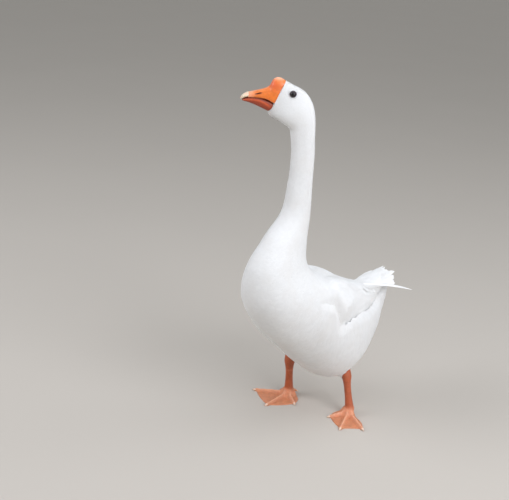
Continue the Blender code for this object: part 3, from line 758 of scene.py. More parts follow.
def soft_finish(name, values, cloud_mm, first, second, fine, dark=None):
    """Skin or horn that is clouded between two colours by a noise and finely bumped by another, and
    goes to a third colour where its dark tone is high, if that is given."""
    made, node, shader, place = new_finish(name, values)
    cloud = node("TexNoise", {"Vector": place, "Scale": 1000 / cloud_mm, "Detail": 3.0})["Fac"]
    colour = node("Mix", {0: cloud, 6: first, 7: second}, **COLOURS)[2]
    if dark:
        share = node("Attribute", attribute_name="DarkAndShade")["Fac"]
        colour = node("Mix", {0: share, 6: colour, 7: linear(dark)}, **COLOURS)[2]
    grain_mm, depth, strength = fine
    grain = node("TexNoise", {"Vector": place, "Scale": 1000 / grain_mm, "Detail": 3.0})["Fac"]
    normal = node("Bump", {"Height": grain, "Distance": depth, "Strength": strength})["Normal"]
    shader({"Base Color": colour, "Normal": normal})
    return made


def skin_finish(colours):
    """Down over skin: white and matt, seen only between the vanes."""
    values = {"Roughness": 0.8, "Subsurface Weight": 0.2, "Subsurface Scale": 0.005}
    return soft_finish("down over skin", values, 12, colours.down, colours.feather, (2.5, 0.0004, 0.6))


def lid_finish(colours):
    """Bare skin of the lids: greyish pink, finely wrinkled, a little moist."""
    values = {"Roughness": 0.42, "Subsurface Weight": 0.15, "Subsurface Scale": 0.002}
    deep = scaled(colours.lid, 0.6)
    return soft_finish("eyelid skin", values, 1.5, colours.lid, deep, (0.7, 0.0002, 0.5))


def nail_finish(colours):
    """Horn of the bill's nail: smooth, cream and slightly see-through, browner below."""
    values = {"Roughness": 0.36, "Subsurface Weight": 0.2, "Subsurface Scale": 0.002}
    deep, fine = scaled(colours.nail, 0.88), (1.4, 0.0001, 0.3)
    return soft_finish("bill nail horn", values, 4, colours.nail, deep, fine, NAIL_RIM)


def claw_finish(colours):
    """Claw horn: pale and smooth, darker towards the tip."""
    values = {"Roughness": 0.4, "Subsurface Weight": 0.15, "Subsurface Scale": 0.002}
    deep, fine = scaled(colours.claw, 0.85), (0.9, 0.0001, 0.3)
    return soft_finish("claw horn", values, 3, colours.claw, deep, fine, CLAW_TIP)


def leg_finish(colours):
    """Scaled skin of the shank and webs: small rounded plates with dark seams, dusty orange, paler
    on the toes, with a painted highlight on the right shank's fold of skin, and dirty near the ground."""
    made, node, shader, place = new_finish(
        "shank and web skin",
        {"Roughness": 0.52, "Subsurface Weight": 0.10, "Subsurface Scale": 0.003, "IOR": 1.5,
         "Subsurface Radius": SKIN_GLOW},
    )
    rounded = {"Vector": place, "Scale": 1000 / 2.1}
    plates = node("TexVoronoi", rounded, feature="DISTANCE_TO_EDGE")["Distance"]
    cloud = node("TexNoise", {"Vector": place, "Scale": 1000 / 14, "Detail": 4.0, "Roughness": 0.6})["Fac"]
    blotch = node("MapRange", {"Value": cloud, "From Min": 0.36, "From Max": 0.66}, **SMOOTH)["Result"]
    shank = node("Mix", {0: blotch, 6: colours.leg, 7: scaled(colours.leg, 0.80)}, **COLOURS)[2]
    web = node("Mix", {0: blotch, 6: colours.web, 7: scaled(colours.web, 0.82)}, **COLOURS)[2]
    height = node("SeparateXYZ", {"Vector": place})["Z"]
    foot = {"Value": height, "From Min": 0.012, "From Max": 0.030, "To Min": 1.0, "To Max": 0.0}
    own = node("Mix", {0: node("MapRange", foot, **SMOOTH)["Result"], 6: shank, 7: web}, **COLOURS)[2]
    # Paler toes, and a painted highlight on the right shank's fold of skin.
    toe = node("Attribute", attribute_name="PaleToeAndFoldHighlight")["Fac"]
    own = node("Mix", {0: toe, 6: own, 7: colours.ridge}, **COLOURS)[2]
    edge = {"Value": plates, "From Min": 0.0, "From Max": 0.16, "To Min": 1.0, "To Max": 0.0}
    seam = node("Math", {0: node("MapRange", edge, **SMOOTH)["Result"], 1: 0.42}, operation="MULTIPLY")[0]
    own = node("Mix", {0: seam, 6: own, 7: linear(PLATE_SEAM)}, **COLOURS)[2]
    ground = {"Value": height, "From Min": 0.0, "From Max": 0.010, "To Min": 0.45, "To Max": 0.0}
    dust = node("TexNoise", {"Vector": place, "Scale": 1000 / 9, "Detail": 4.0})["Fac"]
    dirt = node("Math", {0: node("MapRange", ground, **SMOOTH)["Result"], 1: dust}, operation="MULTIPLY")[0]
    own = node("Mix", {0: dirt, 6: own, 7: linear(DUST)}, **COLOURS)[2]
    under = node("Bump", {"Height": plates, "Distance": 0.0009, "Strength": 0.55})["Normal"]
    grain = node("TexNoise", {"Vector": place, "Scale": 1000 / 1.2, "Detail": 3.0})["Fac"]
    grained = {"Height": grain, "Distance": 0.0002, "Strength": 0.4, "Normal": under}
    shader({"Base Color": own, "Normal": node("Bump", grained)["Normal"]})
    return made


def eye_finish(colours):
    """Wet eyeball: black pupil in a very dark brown iris under a clear, glossy cornea."""
    wet = {"Roughness": 0.3, "Coat Weight": 0.5, "Coat Roughness": 0.03, "Coat IOR": 1.36, "IOR": 1.33}
    made, node, shader, place = new_finish("eyeball", wet)
    ring = node("Attribute", attribute_name="Ring")["Fac"]
    cloud = node("TexNoise", {"Vector": place, "Scale": 1000 / 1.2, "Detail": 4.0})["Fac"]
    iris = node("Mix", {0: cloud, 6: colours.iris, 7: scaled(colours.iris, 1.8)}, **COLOURS)[2]
    past = node("MapRange", {"Value": ring, "From Min": 0.42, "From Max": 0.50}, **SMOOTH)["Result"]
    colour = node("Mix", {0: past, 6: linear(PUPIL), 7: iris}, **COLOURS)[2]
    rim = node("MapRange", {"Value": ring, "From Min": 0.80, "From Max": 0.92}, **SMOOTH)["Result"]
    shader({"Base Color": node("Mix", {0: rim, 6: colour, 7: linear(EYE_RIM)}, **COLOURS)[2]})
    return made


# ------------ skin and plumage
SKIN_PLACES, SKIN_RINGS, SKIN_AROUND = (-0.35, FACE + 0.97), 230, 160
SKIN_NODES = (
    "head", "neck_upper", "neck_middle", "neck_lower", "breast", "trunk", "rump", "undertail",
    "thigh_left", "thigh_right",
)
EYE_PIT, EYE_PIT_DEPTH = (0.0052, 0.0020), 0.0060  # ramp by distance from an eye's line, and its depth
BELLY_Z = 0.2  # only the skin below this is drawn down to a hock
HOCK_COVER = 0.006  # the skin ends that far above the thigh feathers' end

# Tracts of body feathers: name, first and last place, spacing of rows and spacing in a row.
TRACTS = (
    ("undertail_feathers", -0.25, 3.1, 0.0066, 0.0072),
    ("flank_and_belly_feathers", 3.1, 7.3, 0.0070, 0.0082),
    ("lower_breast_feathers", 7.3, 9.1, 0.0064, 0.0074),
    ("breast_feathers", 9.1, 10.65, 0.0062, 0.0072),
    ("neck_root_feathers", 10.65, 12.1, 0.0042, 0.0050),
)
NECK_TRACT = (12.1, 16.4, 0.0030, 0.0036)
HEAD_TRACT = (16.4, FACE + 0.55, 0.0021, 0.0023)
WIDTH_SHARE = ((0, 0.66), (8, 0.68), (10.6, 0.66), (12, 0.52), (16, 0.42), (19, 0.34), (24, 0.34))
SINK_BY_PLACE = (
    (0, 0.0014), (9, 0.0013), (11, 0.0011), (12.5, 0.0009), (16, 0.0008), (20, 0.0007), (24, 0.0004),
)
FLANK_OVERLAP = 0.005  # flank feathers root up to that far above their line
WING_COVERS = (0.045, 0.78)  # shares of the wing's length whose own feathers hide the body's
TIP_SINK = 0.0018  # body feathers behind those lie lower, under the tips of the wing
RUMP_OWN = (2.9, 5.0, 0.27)  # places and half angle that the tail coverts have to themselves
PUFF_TURN, PUFF_REACH = 0.25, 0.022  # turn of the feathers below the flank's line, and how far it lasts
# Distances from an eye's line: no feather roots within the first, one in front of the eye within the
# second is cut to end at the third, and none is cut shorter than the last.
EYE_CLEAR, EYE_FRONT, EYE_TOUCH, SHORTEST = 0.0072, 0.025, 0.0066, 0.0022
# Thighs: rings of feathers and feathers in one, shares down the mound, least and most length, and width.
THIGH_FEATHERS, THIGH_SHARES, THIGH_LENGTHS, THIGH_WIDTH = (17, 32), (-0.45, 0.93), (0.0035, 0.0085), 0.0052
THIGH_IN_MAP = {"left": (0.30, 0.2), "right": (0.70, 0.2)}  # where they go in the bake map


def sources(context, piece=None):
    """The user's sizes and colours, and a piece's own random source, if it has one."""
    sizes = context.scene.goose_sizes
    rng = np.random.default_rng(sizes.seed + STREAM[piece]) if piece else None
    return sizes, context.scene.goose_colours, rng


def eye_frame(side):
    """Centre of an eyeball, and unit vectors out of the head, back along it, and up across it."""
    centre = np.array((OUTWARD[side] * EYE_SIDE, *from_eye(EYE_FORWARD, EYE_UP)))
    axis = unit(np.array((OUTWARD[side], -0.16, 0.10)))
    rear = np.array((0.0, 1.0, 0.12))
    back = unit(rear - axis * (rear @ axis))
    ends = turned(np.stack([centre, centre + axis, centre + back]))
    out, behind = ends[1] - ends[0], ends[2] - ends[0]
    return ends[0], out, behind, np.cross(out, behind) * OUTWARD[side]


def off_eye(points, side):
    """Distance of points from the line through an eye, or a large number on the head's other side."""
    centre, out, _, _ = eye_frame(side)
    ahead = (points - centre) @ out
    off = lengths(points - centre - ahead[..., None] * out)
    return np.where(ahead > -0.010, off, 1.0)


def thigh_base(side):
    """The feathered mound above a hock, as a function of share down it and angle round it.
    Its ring shrinks from a wide one on the belly to a narrow one at the hock, while its height falls
    quickly at first. The rim's height is the belly's, smoothed to its first few waves."""
    hock = THIGH_AT[side]
    angles = np.linspace(0, TURN, 49)
    belly_angles = OUTWARD[side] * np.radians(np.linspace(90, 180, 121))
    belly = body(np.linspace(2.5, 8.5, 241)[:, None], belly_angles[None, :])
    rim_x = hock[0] + THIGH_RIM[0] * np.cos(angles)
    rim_y = hock[1] + THIGH_RIM[1] * np.sin(angles)
    miss = np.hypot(belly[..., 0, None] - rim_x, belly[..., 1, None] - rim_y).reshape(-1, len(angles))
    waves = np.fft.rfft(belly[..., 2].ravel()[np.argmin(miss, axis=0)][:-1])
    waves[THIGH_WAVES:] = 0
    rim_z = np.fft.irfft(waves, len(angles) - 1)
    rim_z = np.append(rim_z, rim_z[0])

    def base(share, angle):
        share, angle = np.broadcast_arrays(np.asarray(share, float), np.asarray(angle, float))
        shrink = ramp(share, -0.25, 1.25)
        rim = np.interp(angle % TURN, angles, rim_z)
        down = np.where(share > 0, np.abs(share) ** 0.85, 0.45 * share)
        drop = np.maximum(rim - THIGH_END, THIGH_LEAST)
        x, y = (
            at + (top + (low - top) * shrink) * wave
            for at, top, low, wave in zip(hock, THIGH_TOP, THIGH_HOCK, (np.cos(angle), np.sin(angle)))
        )
        return np.stack([x, y, rim - drop * down], -1)

    return base


class GOOSE_OT_skin(bpy.types.Operator):
    """One skin under the whole coat, from the tail end to the bill, with sockets and thighs"""

    bl_idname = "goose.skin"
    bl_label = "Skin"

    def execute(self, context):
        """The body's surface, sunk by the coat's depth. Near an eye it is drawn in along the eye's
        line, and near a hock it is drawn down to it, each by a smooth step of distance."""
        _, colours, _ = sources(context)
        place = np.linspace(*SKIN_PLACES, SKIN_RINGS)[:, None]
        angle = circle(SKIN_AROUND)[None, :]
        points = laid(body, body_bed)(place, angle, -table_at(COAT_DEPTH, place))
        for side, (x, y) in THIGH_AT.items():
            _, out, _, _ = eye_frame(side)
            near = 1 - ramp(off_eye(points, side), *EYE_PIT)
            points = points - near[..., None] * EYE_PIT_DEPTH * out
            reach = np.hypot(points[..., 0] - x, points[..., 1] - y) / THIGH_REACH
            pull = (1 - ramp(reach)) ** 0.8 * (points[..., 2] < BELLY_Z)
            points[..., 2] += pull * (THIGH_END + HOCK_COVER - points[..., 2])
        grid = np.stack(np.broadcast_arrays(angle / TURN, place / BAKE_PLACES), -1).reshape(-1, 2)
        maps = {BAKE_MAP: np.vstack([grid, (0.5, 0.0), (0.5, 1.0)]) * 0.98 + 0.01}
        add_piece("skin", closed_loft(points), skin_finish(colours), SKIN_NODES, maps)
        return {"FINISHED"}


def contour_length(sizes, place):
    """Length of the body's feathers by place, from the tail end to the face."""
    flank, breast = sizes.flank_feather, sizes.breast_feather
    neck, head = sizes.neck_feather, sizes.head_feather
    table = (
        (0, 0.7 * flank), (3, 0.95 * flank), (6, flank), (8, 0.95 * flank), (9.5, breast),
        (10.6, 0.80 * breast), (11.4, 0.62 * breast), (12.5, neck), (16.5, 0.72 * neck), (18.5, 1.15 * head),
        (21, 0.85 * head), (22.4, 0.62 * head), (24, 0.42 * head),
    )
    return table_at(table, place)


def feather_sizes(sizes, place, rng):
    """Length and width of the feathers at those places, each a little off the usual."""
    usual = contour_length(sizes, place)
    length = usual * rng.uniform(0.88, 1.12, len(place))
    return length, usual * table_at(WIDTH_SHARE, place) * rng.uniform(0.9, 1.1, len(place))


def contour_batch(sizes, rng, first, last, along, around, vane, **more):
    """Body feathers between two places. Those above the flank's line are left to the wing, and those
    just below it turn up over it."""
    place, angle = roots(first, last, along, around, rng)
    share = wing_share(place)
    below = below_flank_line(place, angle)
    above_line = below < -FLANK_OVERLAP
    on_wing = above_line & (fold(angle) > np.radians(table_at(WING_TOP, share)) - 0.02)
    on_wing &= (share > WING_COVERS[0]) & (share < WING_COVERS[1])
    on_rump = (place > RUMP_OWN[0]) & (place < RUMP_OWN[1]) & (fold(angle) < RUMP_OWN[2])
    keep = ~on_wing & ~on_rump
    place, angle, below, share, above_line = (row[keep] for row in (place, angle, below, share, above_line))
    length, width = feather_sizes(sizes, place, rng)
    puffed = wing_window(place) * (below > 0) * np.exp(-np.maximum(below, 0) / PUFF_REACH)
    turn = rng.normal(0, 0.05, len(place)) - outwards(angle) * PUFF_TURN * puffed
    base = np.where(above_line & (share > WING_COVERS[1]), -TIP_SINK, 0.0)

    def bed(at, round_at):
        """A flank feather lies on the flank's bed all along, and another on whatever is under it."""
        on_flank = (below > -FLANK_OVERLAP).reshape(-1, *[1] * (at.ndim - 1))
        flesh = np.where(on_flank, flank_height(at, round_at), flesh_height(at, round_at))
        return flesh + rump_joined(at, round_at)

    return lay(laid(body, bed), place, angle, length, width, vane, rng, turn=turn,
               sink=table_at(SINK_BY_PLACE, place), base=base, **more)


class GOOSE_OT_body_feathers(bpy.types.Operator):
    """Rounded feathers of the breast, flanks, belly, back and undertail"""

    bl_idname = "goose.body_feathers"
    bl_label = "Body feathers"

    def execute(self, context):
        sizes, colours, rng = sources(context, "body")
        for name, *tract in TRACTS:
            batch = contour_batch(sizes, rng, *tract, CONTOUR_VANE, fray=0.045)
            add_coat(name, contour_finish(colours), [batch])
        return {"FINISHED"}


class GOOSE_OT_neck_feathers(bpy.types.Operator):
    """Short narrow feathers of the neck"""

    bl_idname = "goose.neck_feathers"
    bl_label = "Neck feathers"

    def execute(self, context):
        """One tract of small vanes, looser and more ragged than the body's."""
        sizes, colours, rng = sources(context, "neck")
        batch = contour_batch(sizes, rng, *NECK_TRACT, SMALL_VANE, fray=0.06, loose=0.00012, thick=0.0004)
        add_coat("neck_feathers", small_finish(colours), [batch])
        return {"FINISHED"}


class GOOSE_OT_head_feathers(bpy.types.Operator):
    """The shortest feathers, from the nape to the bill, kept clear of the eyes"""

    bl_idname = "goose.head_feathers"
    bl_label = "Head feathers"

    def execute(self, context):
        """Feathers as on the neck. One that starts in front of an eye is cut short of it, and one
        that starts on the eye is left out."""
        sizes, colours, rng = sources(context, "head")
        place, angle = roots(*HEAD_TRACT, rng)
        points = body(place, angle)
        length, width = feather_sizes(sizes, place, rng)
        turn = rng.normal(0, 0.10, len(place))
        keep = np.ones(len(place), bool)
        for side in SIDES:
            centre, _, behind, _ = eye_frame(side)
            off = off_eye(points, side)
            keep &= off > EYE_CLEAR
            in_front = ((points - centre) @ behind < 0.002) & (off < EYE_FRONT)
            length = np.where(in_front, np.minimum(length, np.maximum(off - EYE_TOUCH, SHORTEST)), length)
        place, angle, length, width, turn = (row[keep] for row in (place, angle, length, width, turn))
        batch = lay(laid(body, flat_bed), place, angle, length, width, SMALL_VANE, rng, turn=turn,
                    sink=table_at(SINK_BY_PLACE, place), fray=0.06, loose=0.00012, camber=0.06)
        add_coat("head_feathers", small_finish(colours), [batch])
        return {"FINISHED"}


class GOOSE_OT_thigh_feathers(bpy.types.Operator):
    """Small feathers down to the hock on each leg"""

    bl_idname = "goose.thigh_feathers"
    bl_label = "Thigh feathers"

    def execute(self, context):
        """Staggered rings of feathers down each mound, none longer than what is left of it."""
        _, colours, rng = sources(context, "thigh")
        rings, around = THIGH_FEATHERS
        for side in SIDES:
            base = thigh_base(side)
            share = np.repeat(np.linspace(*THIGH_SHARES, rings), around)
            stagger = np.repeat(np.arange(rings) % 2, around) * TURN / (2 * around)
            angle = np.tile(circle(around), rings) + stagger
            share = share + rng.normal(0, 0.02, len(share))
            angle = angle + rng.normal(0, 0.03, len(share))
            left = lengths(base(1.0, angle) - base(share, angle)) + 0.001
            length = np.clip(left, *THIGH_LENGTHS) * rng.uniform(0.88, 1.0, len(share))
            batch = lay(laid(base, flat_bed, 0.05), share, angle, length, THIGH_WIDTH, CONTOUR_VANE, rng,
                        way=1, step=(0.05, 0.05), sink=0.0012, turn=rng.normal(0, 0.05, len(share)))
            batch["root"] = (batch["root"] + THIGH_IN_MAP[side]) % 1.0
            add_coat(f"thigh_{side}_feathers", contour_finish(colours), [batch])
        return {"FINISHED"}


# ------------ wings and back
# Rows of a wing's coverts: their shares of its length, their spacing, and how far down they go.
SMALL_COVERTS = (np.arange(0.02, 0.34, 0.0215), 0.0085, 1.02)
MIDDLE_COVERTS = ((0.335, 0.375, 0.415), 0.0105, 1.0)
GREAT_COVERTS = ((0.455,), 0.0120, 0.98)
SECONDARIES, PRIMARIES = 13, 7
SCAPULARS = (3.9, 9.1, 0.0105, 0.0105)
SCAPULAR_LENGTH = ((3.9, 0.050), (7, 0.050), (9.1, 0.034))
SCAPULAR_REACH = 0.20  # angle past the wing's upper edge that they are rooted to


def wing_base(side):
    """A wing's surface as shares of its length and of its width, top to bottom."""
    mirror = np.array((OUTWARD[side], 1, 1))

    def at(share, across):
        place = WING_SHOULDER + (WING_TIP - WING_SHOULDER) * share
        top = np.radians(table_at(WING_TOP, share))
        low = np.radians(table_at(WING_LOW, share))
        return place, top + (low - top) * across

    def surface(share, across, height=0.0):
        place, angle = at(share, across)
        return laid(body, wing_height)(place, angle, height) * mirror

    return at, surface


def feather_rows(rows, spacing, high, rng):
    """Roots in staggered rows across the wing, down to a share of its width there."""
    share, across = [], []
    for number, row in enumerate(rows):
        top, bottom = (math.radians(float(table_at(table, row))) for table in (WING_TOP, WING_LOW))
        count = max(2, int(round((bottom - top) * BODY_ROUND * high / spacing)))
        k = np.arange(count) + 0.5 * (number % 2) + rng.uniform(-0.25, 0.25, count)
        across.append(high * (k + 0.25) / count)
        share.append(np.full(count, row))
    return np.concatenate(share), np.concatenate(across)


def wing_batches(surface, sizes, rng):
    """A wing's feathers, front to back: three sizes of coverts, the secondaries and the primaries."""
    batches = []

    def add(share, across, length, width, vane, **more):
        more.update(way=1, step=(0.004, 0.01))
        batches.append(lay(surface, share, across, length, width, vane, rng, **more))

    share, across = feather_rows(*SMALL_COVERTS, rng)
    add(share + rng.normal(0, 0.003, len(share)), across, sizes.covert * (1 + 0.5 * share), 0.0118,
        CONTOUR_VANE, sink=0.0024, turn=rng.normal(0, 0.07, len(share)), fray=0.04)
    share, across = feather_rows(*MIDDLE_COVERTS, rng)
    add(share, across, 1.6 * sizes.covert, 0.0160, CONTOUR_VANE, sink=0.0026,
        turn=rng.normal(0, 0.05, len(share)))
    share, across = feather_rows(*GREAT_COVERTS, rng)
    add(share, across, 2.4 * sizes.covert, 0.0200, FLIGHT_VANE, sink=0.0028,
        turn=rng.normal(0, 0.03, len(share)), shaft=0.0003)
    order, count = np.linspace(0, 1, SECONDARIES), SECONDARIES
    share = 0.545 - 0.05 * order + rng.normal(0, 0.006, count)
    length = sizes.secondary * (0.84 + 0.06 * order) * rng.uniform(0.95, 1.05, count)
    add(share, 0.03 + 0.90 * order, length, 0.0240, FLIGHT_VANE, sink=0.0032, base=-0.0010 * order,
        shaft=0.0004, fray=0.012, turn=rng.normal(0, 0.02, count))
    order = np.linspace(0, 1, PRIMARIES)
    add(0.58 + 0.03 * order, 0.34 + 0.40 * order, sizes.primary * (1.02 - 0.16 * order), 0.0170, FLIGHT_VANE,
        sink=0.0042, base=-0.0008 - 0.0004 * order, shaft=0.0005, fray=0.01, turn=-0.03 + 0.02 * order)
    return batches


class GOOSE_OT_wing_feathers(bpy.types.Operator):
    """Folded wings: rows of coverts, then secondaries and tertials, then the tips of the primaries"""

    bl_idname = "goose.wing_feathers"
    bl_label = "Wing feathers"

    def execute(self, context):
        """One piece for each wing, its roots put from the wing's shares to places in the bake map."""
        sizes, colours, rng = sources(context, "wing")
        for side in SIDES:
            at, surface = wing_base(side)
            batches = wing_batches(surface, sizes, rng)
            for batch in batches:
                across, share = batch["root"][:, 0] * TURN, batch["root"][:, 1] * BAKE_PLACES
                place, angle = at(share, across)
                angle = angle if side == "left" else TURN - angle
                batch["root"] = np.stack([angle / TURN, place / BAKE_PLACES], -1)
            nodes = [f"wing_{side}_{part}" for part in ("coverts", "secondaries", "primaries")]
            add_coat(f"wing_{side}_feathers", contour_finish(colours), batches, nodes)
        return {"FINISHED"}


class GOOSE_OT_scapulars(bpy.types.Operator):
    """Long soft feathers of the back that lie over the upper edge of each wing"""

    bl_idname = "goose.scapulars"
    bl_label = "Scapulars"

    def execute(self, context):
        """Feathers of the back as far as the wings, those at the sides turned a little outwards."""
        _, colours, rng = sources(context, "scapular")
        place, angle = roots(*SCAPULARS, rng)
        keep = fold(angle) < np.radians(table_at(WING_TOP, wing_share(place))) + SCAPULAR_REACH
        keep &= ~((place < RUMP_OWN[1]) & (fold(angle) < 0.25))
        place, angle = place[keep], angle[keep]
        length = table_at(SCAPULAR_LENGTH, place) * rng.uniform(0.9, 1.1, len(place))
        turn = rng.normal(0, 0.06, len(place)) + 0.10 * outwards(angle) * (fold(angle) > 0.2)
        batch = lay(laid(body, wing_height), place, angle, length, 0.46 * length, CONTOUR_VANE, rng,
                    turn=turn, sink=0.0022, lift=0.0012)
        add_coat("scapular_feathers", contour_finish(colours), [batch])
        return {"FINISHED"}


# ------------ tail and loose feather
TAIL_START = (0.134, 0.3010)
TAIL_LENGTH = 0.108
TAIL_ROOT_HALF, TAIL_TIP_HALF = 0.030, 0.038
TAIL_RISE = math.radians(9)
TAIL_ARCH = 0.016
TAIL_ROUNDED = 0.52  # share by which its outer feathers end short of the middle ones
TAIL_FEATHERS = 16
COVERTS = (2.5, 5.35, 0.0085, 0.0085)
COVERTS_HALF = ((2.5, 0.75), (3.2, 0.45), (5.3, 0.30))
COVERTS_LENGTH = ((2.5, 0.040), (3.2, 0.038), (5.3, 0.030))

LOOSE_ROOT, LOOSE_BEND, LOOSE_TIP = (0.050, 0.062, 0.3187), (0.058, 0.170, 0.2957), (0.072, 0.262, 0.2680)
LOOSE_ACROSS, LOOSE_UP = (0.94, -0.17, -0.28), (0.31, 0.20, 0.93)
LOOSE_WIDTH = 0.0125
LOOSE_LIFT = 0.0065  # clears the feathers that its root lies over


def tail_base(along, across):
    """The tail's upper side: a closed fan that rises a little and is arched across like a roof."""
    along, across = np.broadcast_arrays(np.asarray(along, float), np.asarray(across, float))
    run = along * TAIL_LENGTH * (1 - TAIL_ROUNDED * np.minimum(across**2, 1))
    x = (TAIL_ROOT_HALF + (TAIL_TIP_HALF - TAIL_ROOT_HALF) * along) * across
    arch = TAIL_ARCH * (0.35 + 0.65 * along) * across**2
    y, z = TAIL_START[0] + run * math.cos(TAIL_RISE), TAIL_START[1] + run * math.sin(TAIL_RISE)
    return np.stack([x, y, z - arch], -1)


def tail_surface(along, across, height=0.0):
    """The tail's upper side and what lies over it. Its share across runs to the left, so that the
    surface's own normal points down."""
    along, across, height = np.broadcast_arrays(along, across, height)
    down = normals_of(tail_base, along, across, 0.02)
    return tail_base(along, across) - height[..., None] * down


class GOOSE_OT_tail(bpy.types.Operator):
    """Tail: a fan of stiff feathers, the covert feathers over its root and those under it"""

    bl_idname = "goose.tail"
    bl_label = "Tail feathers"

    def execute(self, context):
        """The fan and its undercoverts in one piece, and the coverts on the rump in another."""
        _, colours, rng = sources(context, "tail")
        count = TAIL_FEATHERS
        order = np.linspace(-1, 1, count)
        fan = lay(tail_surface, np.full(count, -0.20), 0.93 * order,
                  TAIL_LENGTH * 1.10 * rng.uniform(0.86, 1.04, count), 0.0205, FLIGHT_VANE, rng, way=1,
                  sink=0.0, base=-0.0012 - 0.0030 * np.abs(order) + rng.normal(0, 0.0002, count),
                  thick=0.0006, shaft=0.0003, fray=0.05, turn=rng.normal(0, 0.05, count), camber=0.03)
        order, count = order[2:-2], count - 4
        under = lay(tail_surface, np.full(count, -0.15), 0.85 * order,
                    TAIL_LENGTH * 0.80 * rng.uniform(0.9, 1.1, count), 0.0200, CONTOUR_VANE, rng, way=1,
                    sink=0.0, base=-0.0078, lift=-0.001, thick=0.0030, fray=0.05,
                    turn=rng.normal(0, 0.06, count), camber=0.02)
        add_coat("tail_feathers", flight_finish(colours), [fan, under], ["tail"])
        place, angle = roots(*COVERTS, rng)
        keep = fold(angle) < table_at(COVERTS_HALF, place)
        place, angle = place[keep], angle[keep]
        length = table_at(COVERTS_LENGTH, place) * rng.uniform(0.85, 1.15, len(place))
        batch = lay(laid(body, rump_height), place, angle, length, 0.44 * length, CONTOUR_VANE, rng,
                    turn=rng.normal(0, 0.10, len(place)), sink=0.0026, lift=0.0002, loose=0.0003, fray=0.06)
        add_coat("tail_covert_feathers", contour_finish(colours), [batch], ["tail_coverts"])
        return {"FINISHED"}


def loose_surface(t, across, height=0.0):
    """The curve (1-t)^2 root + 2t(1-t) knee + t^2 tip, whose knee is placed so that it passes through
    the bend, with the places across and above it."""
    root, bend, tip, beside, up = (
        np.array(one) for one in (LOOSE_ROOT, LOOSE_BEND, LOOSE_TIP, LOOSE_ACROSS, LOOSE_UP)
    )
    knee = 2 * bend - (root + tip) / 2
    t, across, height = (value[..., None] for value in np.broadcast_arrays(t, across, height))
    line = (1 - t) ** 2 * root + 2 * t * (1 - t) * knee + t**2 * tip
    return line + across * beside + (height + LOOSE_LIFT * (1 - t)) * up


class GOOSE_OT_loose_primary(bpy.types.Operator):
    """The one flight feather of the left wing that stands clear over the tail"""

    bl_idname = "goose.loose_primary"
    bl_label = "Loose primary"

    def execute(self, context):
        _, colours, rng = sources(context, "loose")
        chord = math.dist(LOOSE_TIP, LOOSE_ROOT)
        batch = lay(loose_surface, np.zeros(1), np.zeros(1), chord, LOOSE_WIDTH, LOOSE_VANE, rng, way=1,
                    step=(0.02, 0.001), sink=0.0, thick=0.0012, shaft=0.0009, fray=0.004, loose=0.0,
                    camber=0.08)
        batch["root"] = np.full(batch["root"].shape, 0.45)
        add_coat("loose_primary_feather", flight_finish(colours), [batch], ["wing_left_loose_primary"])
        return {"FINISHED"}


# ------------ bill and eyes
# Upper bill and knob in one, from inside the head: top (forward, up), lower edge (forward, up), bill
# half width, height of the bill's own ridge, knob half width.
UPPER_BILL = (
    (0.0120, 0.0215, 0.0325, -0.0208, 0.0140, 0.0140, 0.0090),
    (0.0165, 0.0258, 0.0355, -0.0210, 0.0152, 0.0150, 0.0108),
    (0.0200, 0.0292, 0.0382, -0.0206, 0.0158, 0.0154, 0.0120),
    (0.0248, 0.0323, 0.0408, -0.0195, 0.0158, 0.0153, 0.0129),
    (0.0310, 0.0345, 0.0434, -0.0184, 0.0156, 0.0152, 0.0133),
    (0.0380, 0.0346, 0.0460, -0.0171, 0.0154, 0.0150, 0.0131),
    (0.0437, 0.0318, 0.0486, -0.0158, 0.0152, 0.0147, 0.0120),
    (0.0476, 0.0265, 0.0510, -0.0146, 0.0150, 0.0143, 0.0101),
    (0.0500, 0.0207, 0.0532, -0.0136, 0.0148, 0.0138, 0.0074),
    (0.0528, 0.0160, 0.0558, -0.0126, 0.0146, 0.0128, 0.0042),
    (0.0580, 0.0118, 0.0603, -0.0114, 0.0143, 0.0108, 0.0014),
    (0.0665, 0.0080, 0.0678, -0.0104, 0.0138, 0.0078, 0.0002),
    (0.0825, 0.0030, 0.0825, -0.0099, 0.0130, 0.0029, 0.0001),
    (0.0990, -0.0017, 0.0980, -0.0113, 0.0115, -0.0018, 0.0001),
)
# Nail and lower bill: top (forward, up), lower side (forward, up), half width, fullness downwards.
NAIL = (
    (0.0976, -0.0008, 0.0970, -0.0108, 0.0112, 0.16),
    (0.0995, -0.0016, 0.0985, -0.0117, 0.0117, 0.16),
    (0.1045, -0.0040, 0.1040, -0.0137, 0.0101, 0.12),
    (0.1098, -0.0078, 0.1098, -0.0163, 0.0077, 0.08),
    (0.1130, -0.0119, 0.1133, -0.0187, 0.0048, 0.0),
    (0.1144, -0.0157, 0.1146, -0.0196, 0.0022, 0.0),
)
LOWER_BILL = (
    (0.0315, -0.0250, 0.0370, -0.0345, 0.0118, -0.15),
    (0.0392, -0.0224, 0.0432, -0.0364, 0.0131, -0.15),
    (0.0480, -0.0176, 0.0515, -0.0398, 0.0137, -0.15),
    (0.0605, -0.0130, 0.0615, -0.0366, 0.0131, -0.18),
    (0.0765, -0.0096, 0.0770, -0.0304, 0.0126, -0.20),
    (0.0930, -0.0098, 0.0930, -0.0249, 0.0113, -0.15),
    (0.1040, -0.0140, 0.1045, -0.0223, 0.0078, -0.05),
    (0.1100, -0.0176, 0.1103, -0.0211, 0.0040, 0.0),
)
NAIL_POWER, LOWER_POWER = 0.86, 0.80  # roundness of their rings
VAULT_RISE = 0.0030  # height of the palate over the upper bill's lower edge
NOSTRIL_AT, NOSTRIL_SIZE, NOSTRIL_DEPTH = (0.0765, -0.0022), (0.0072, 0.0013), 0.0026
NOSTRIL_DROOP = 0.28  # how much it falls for each metre forward
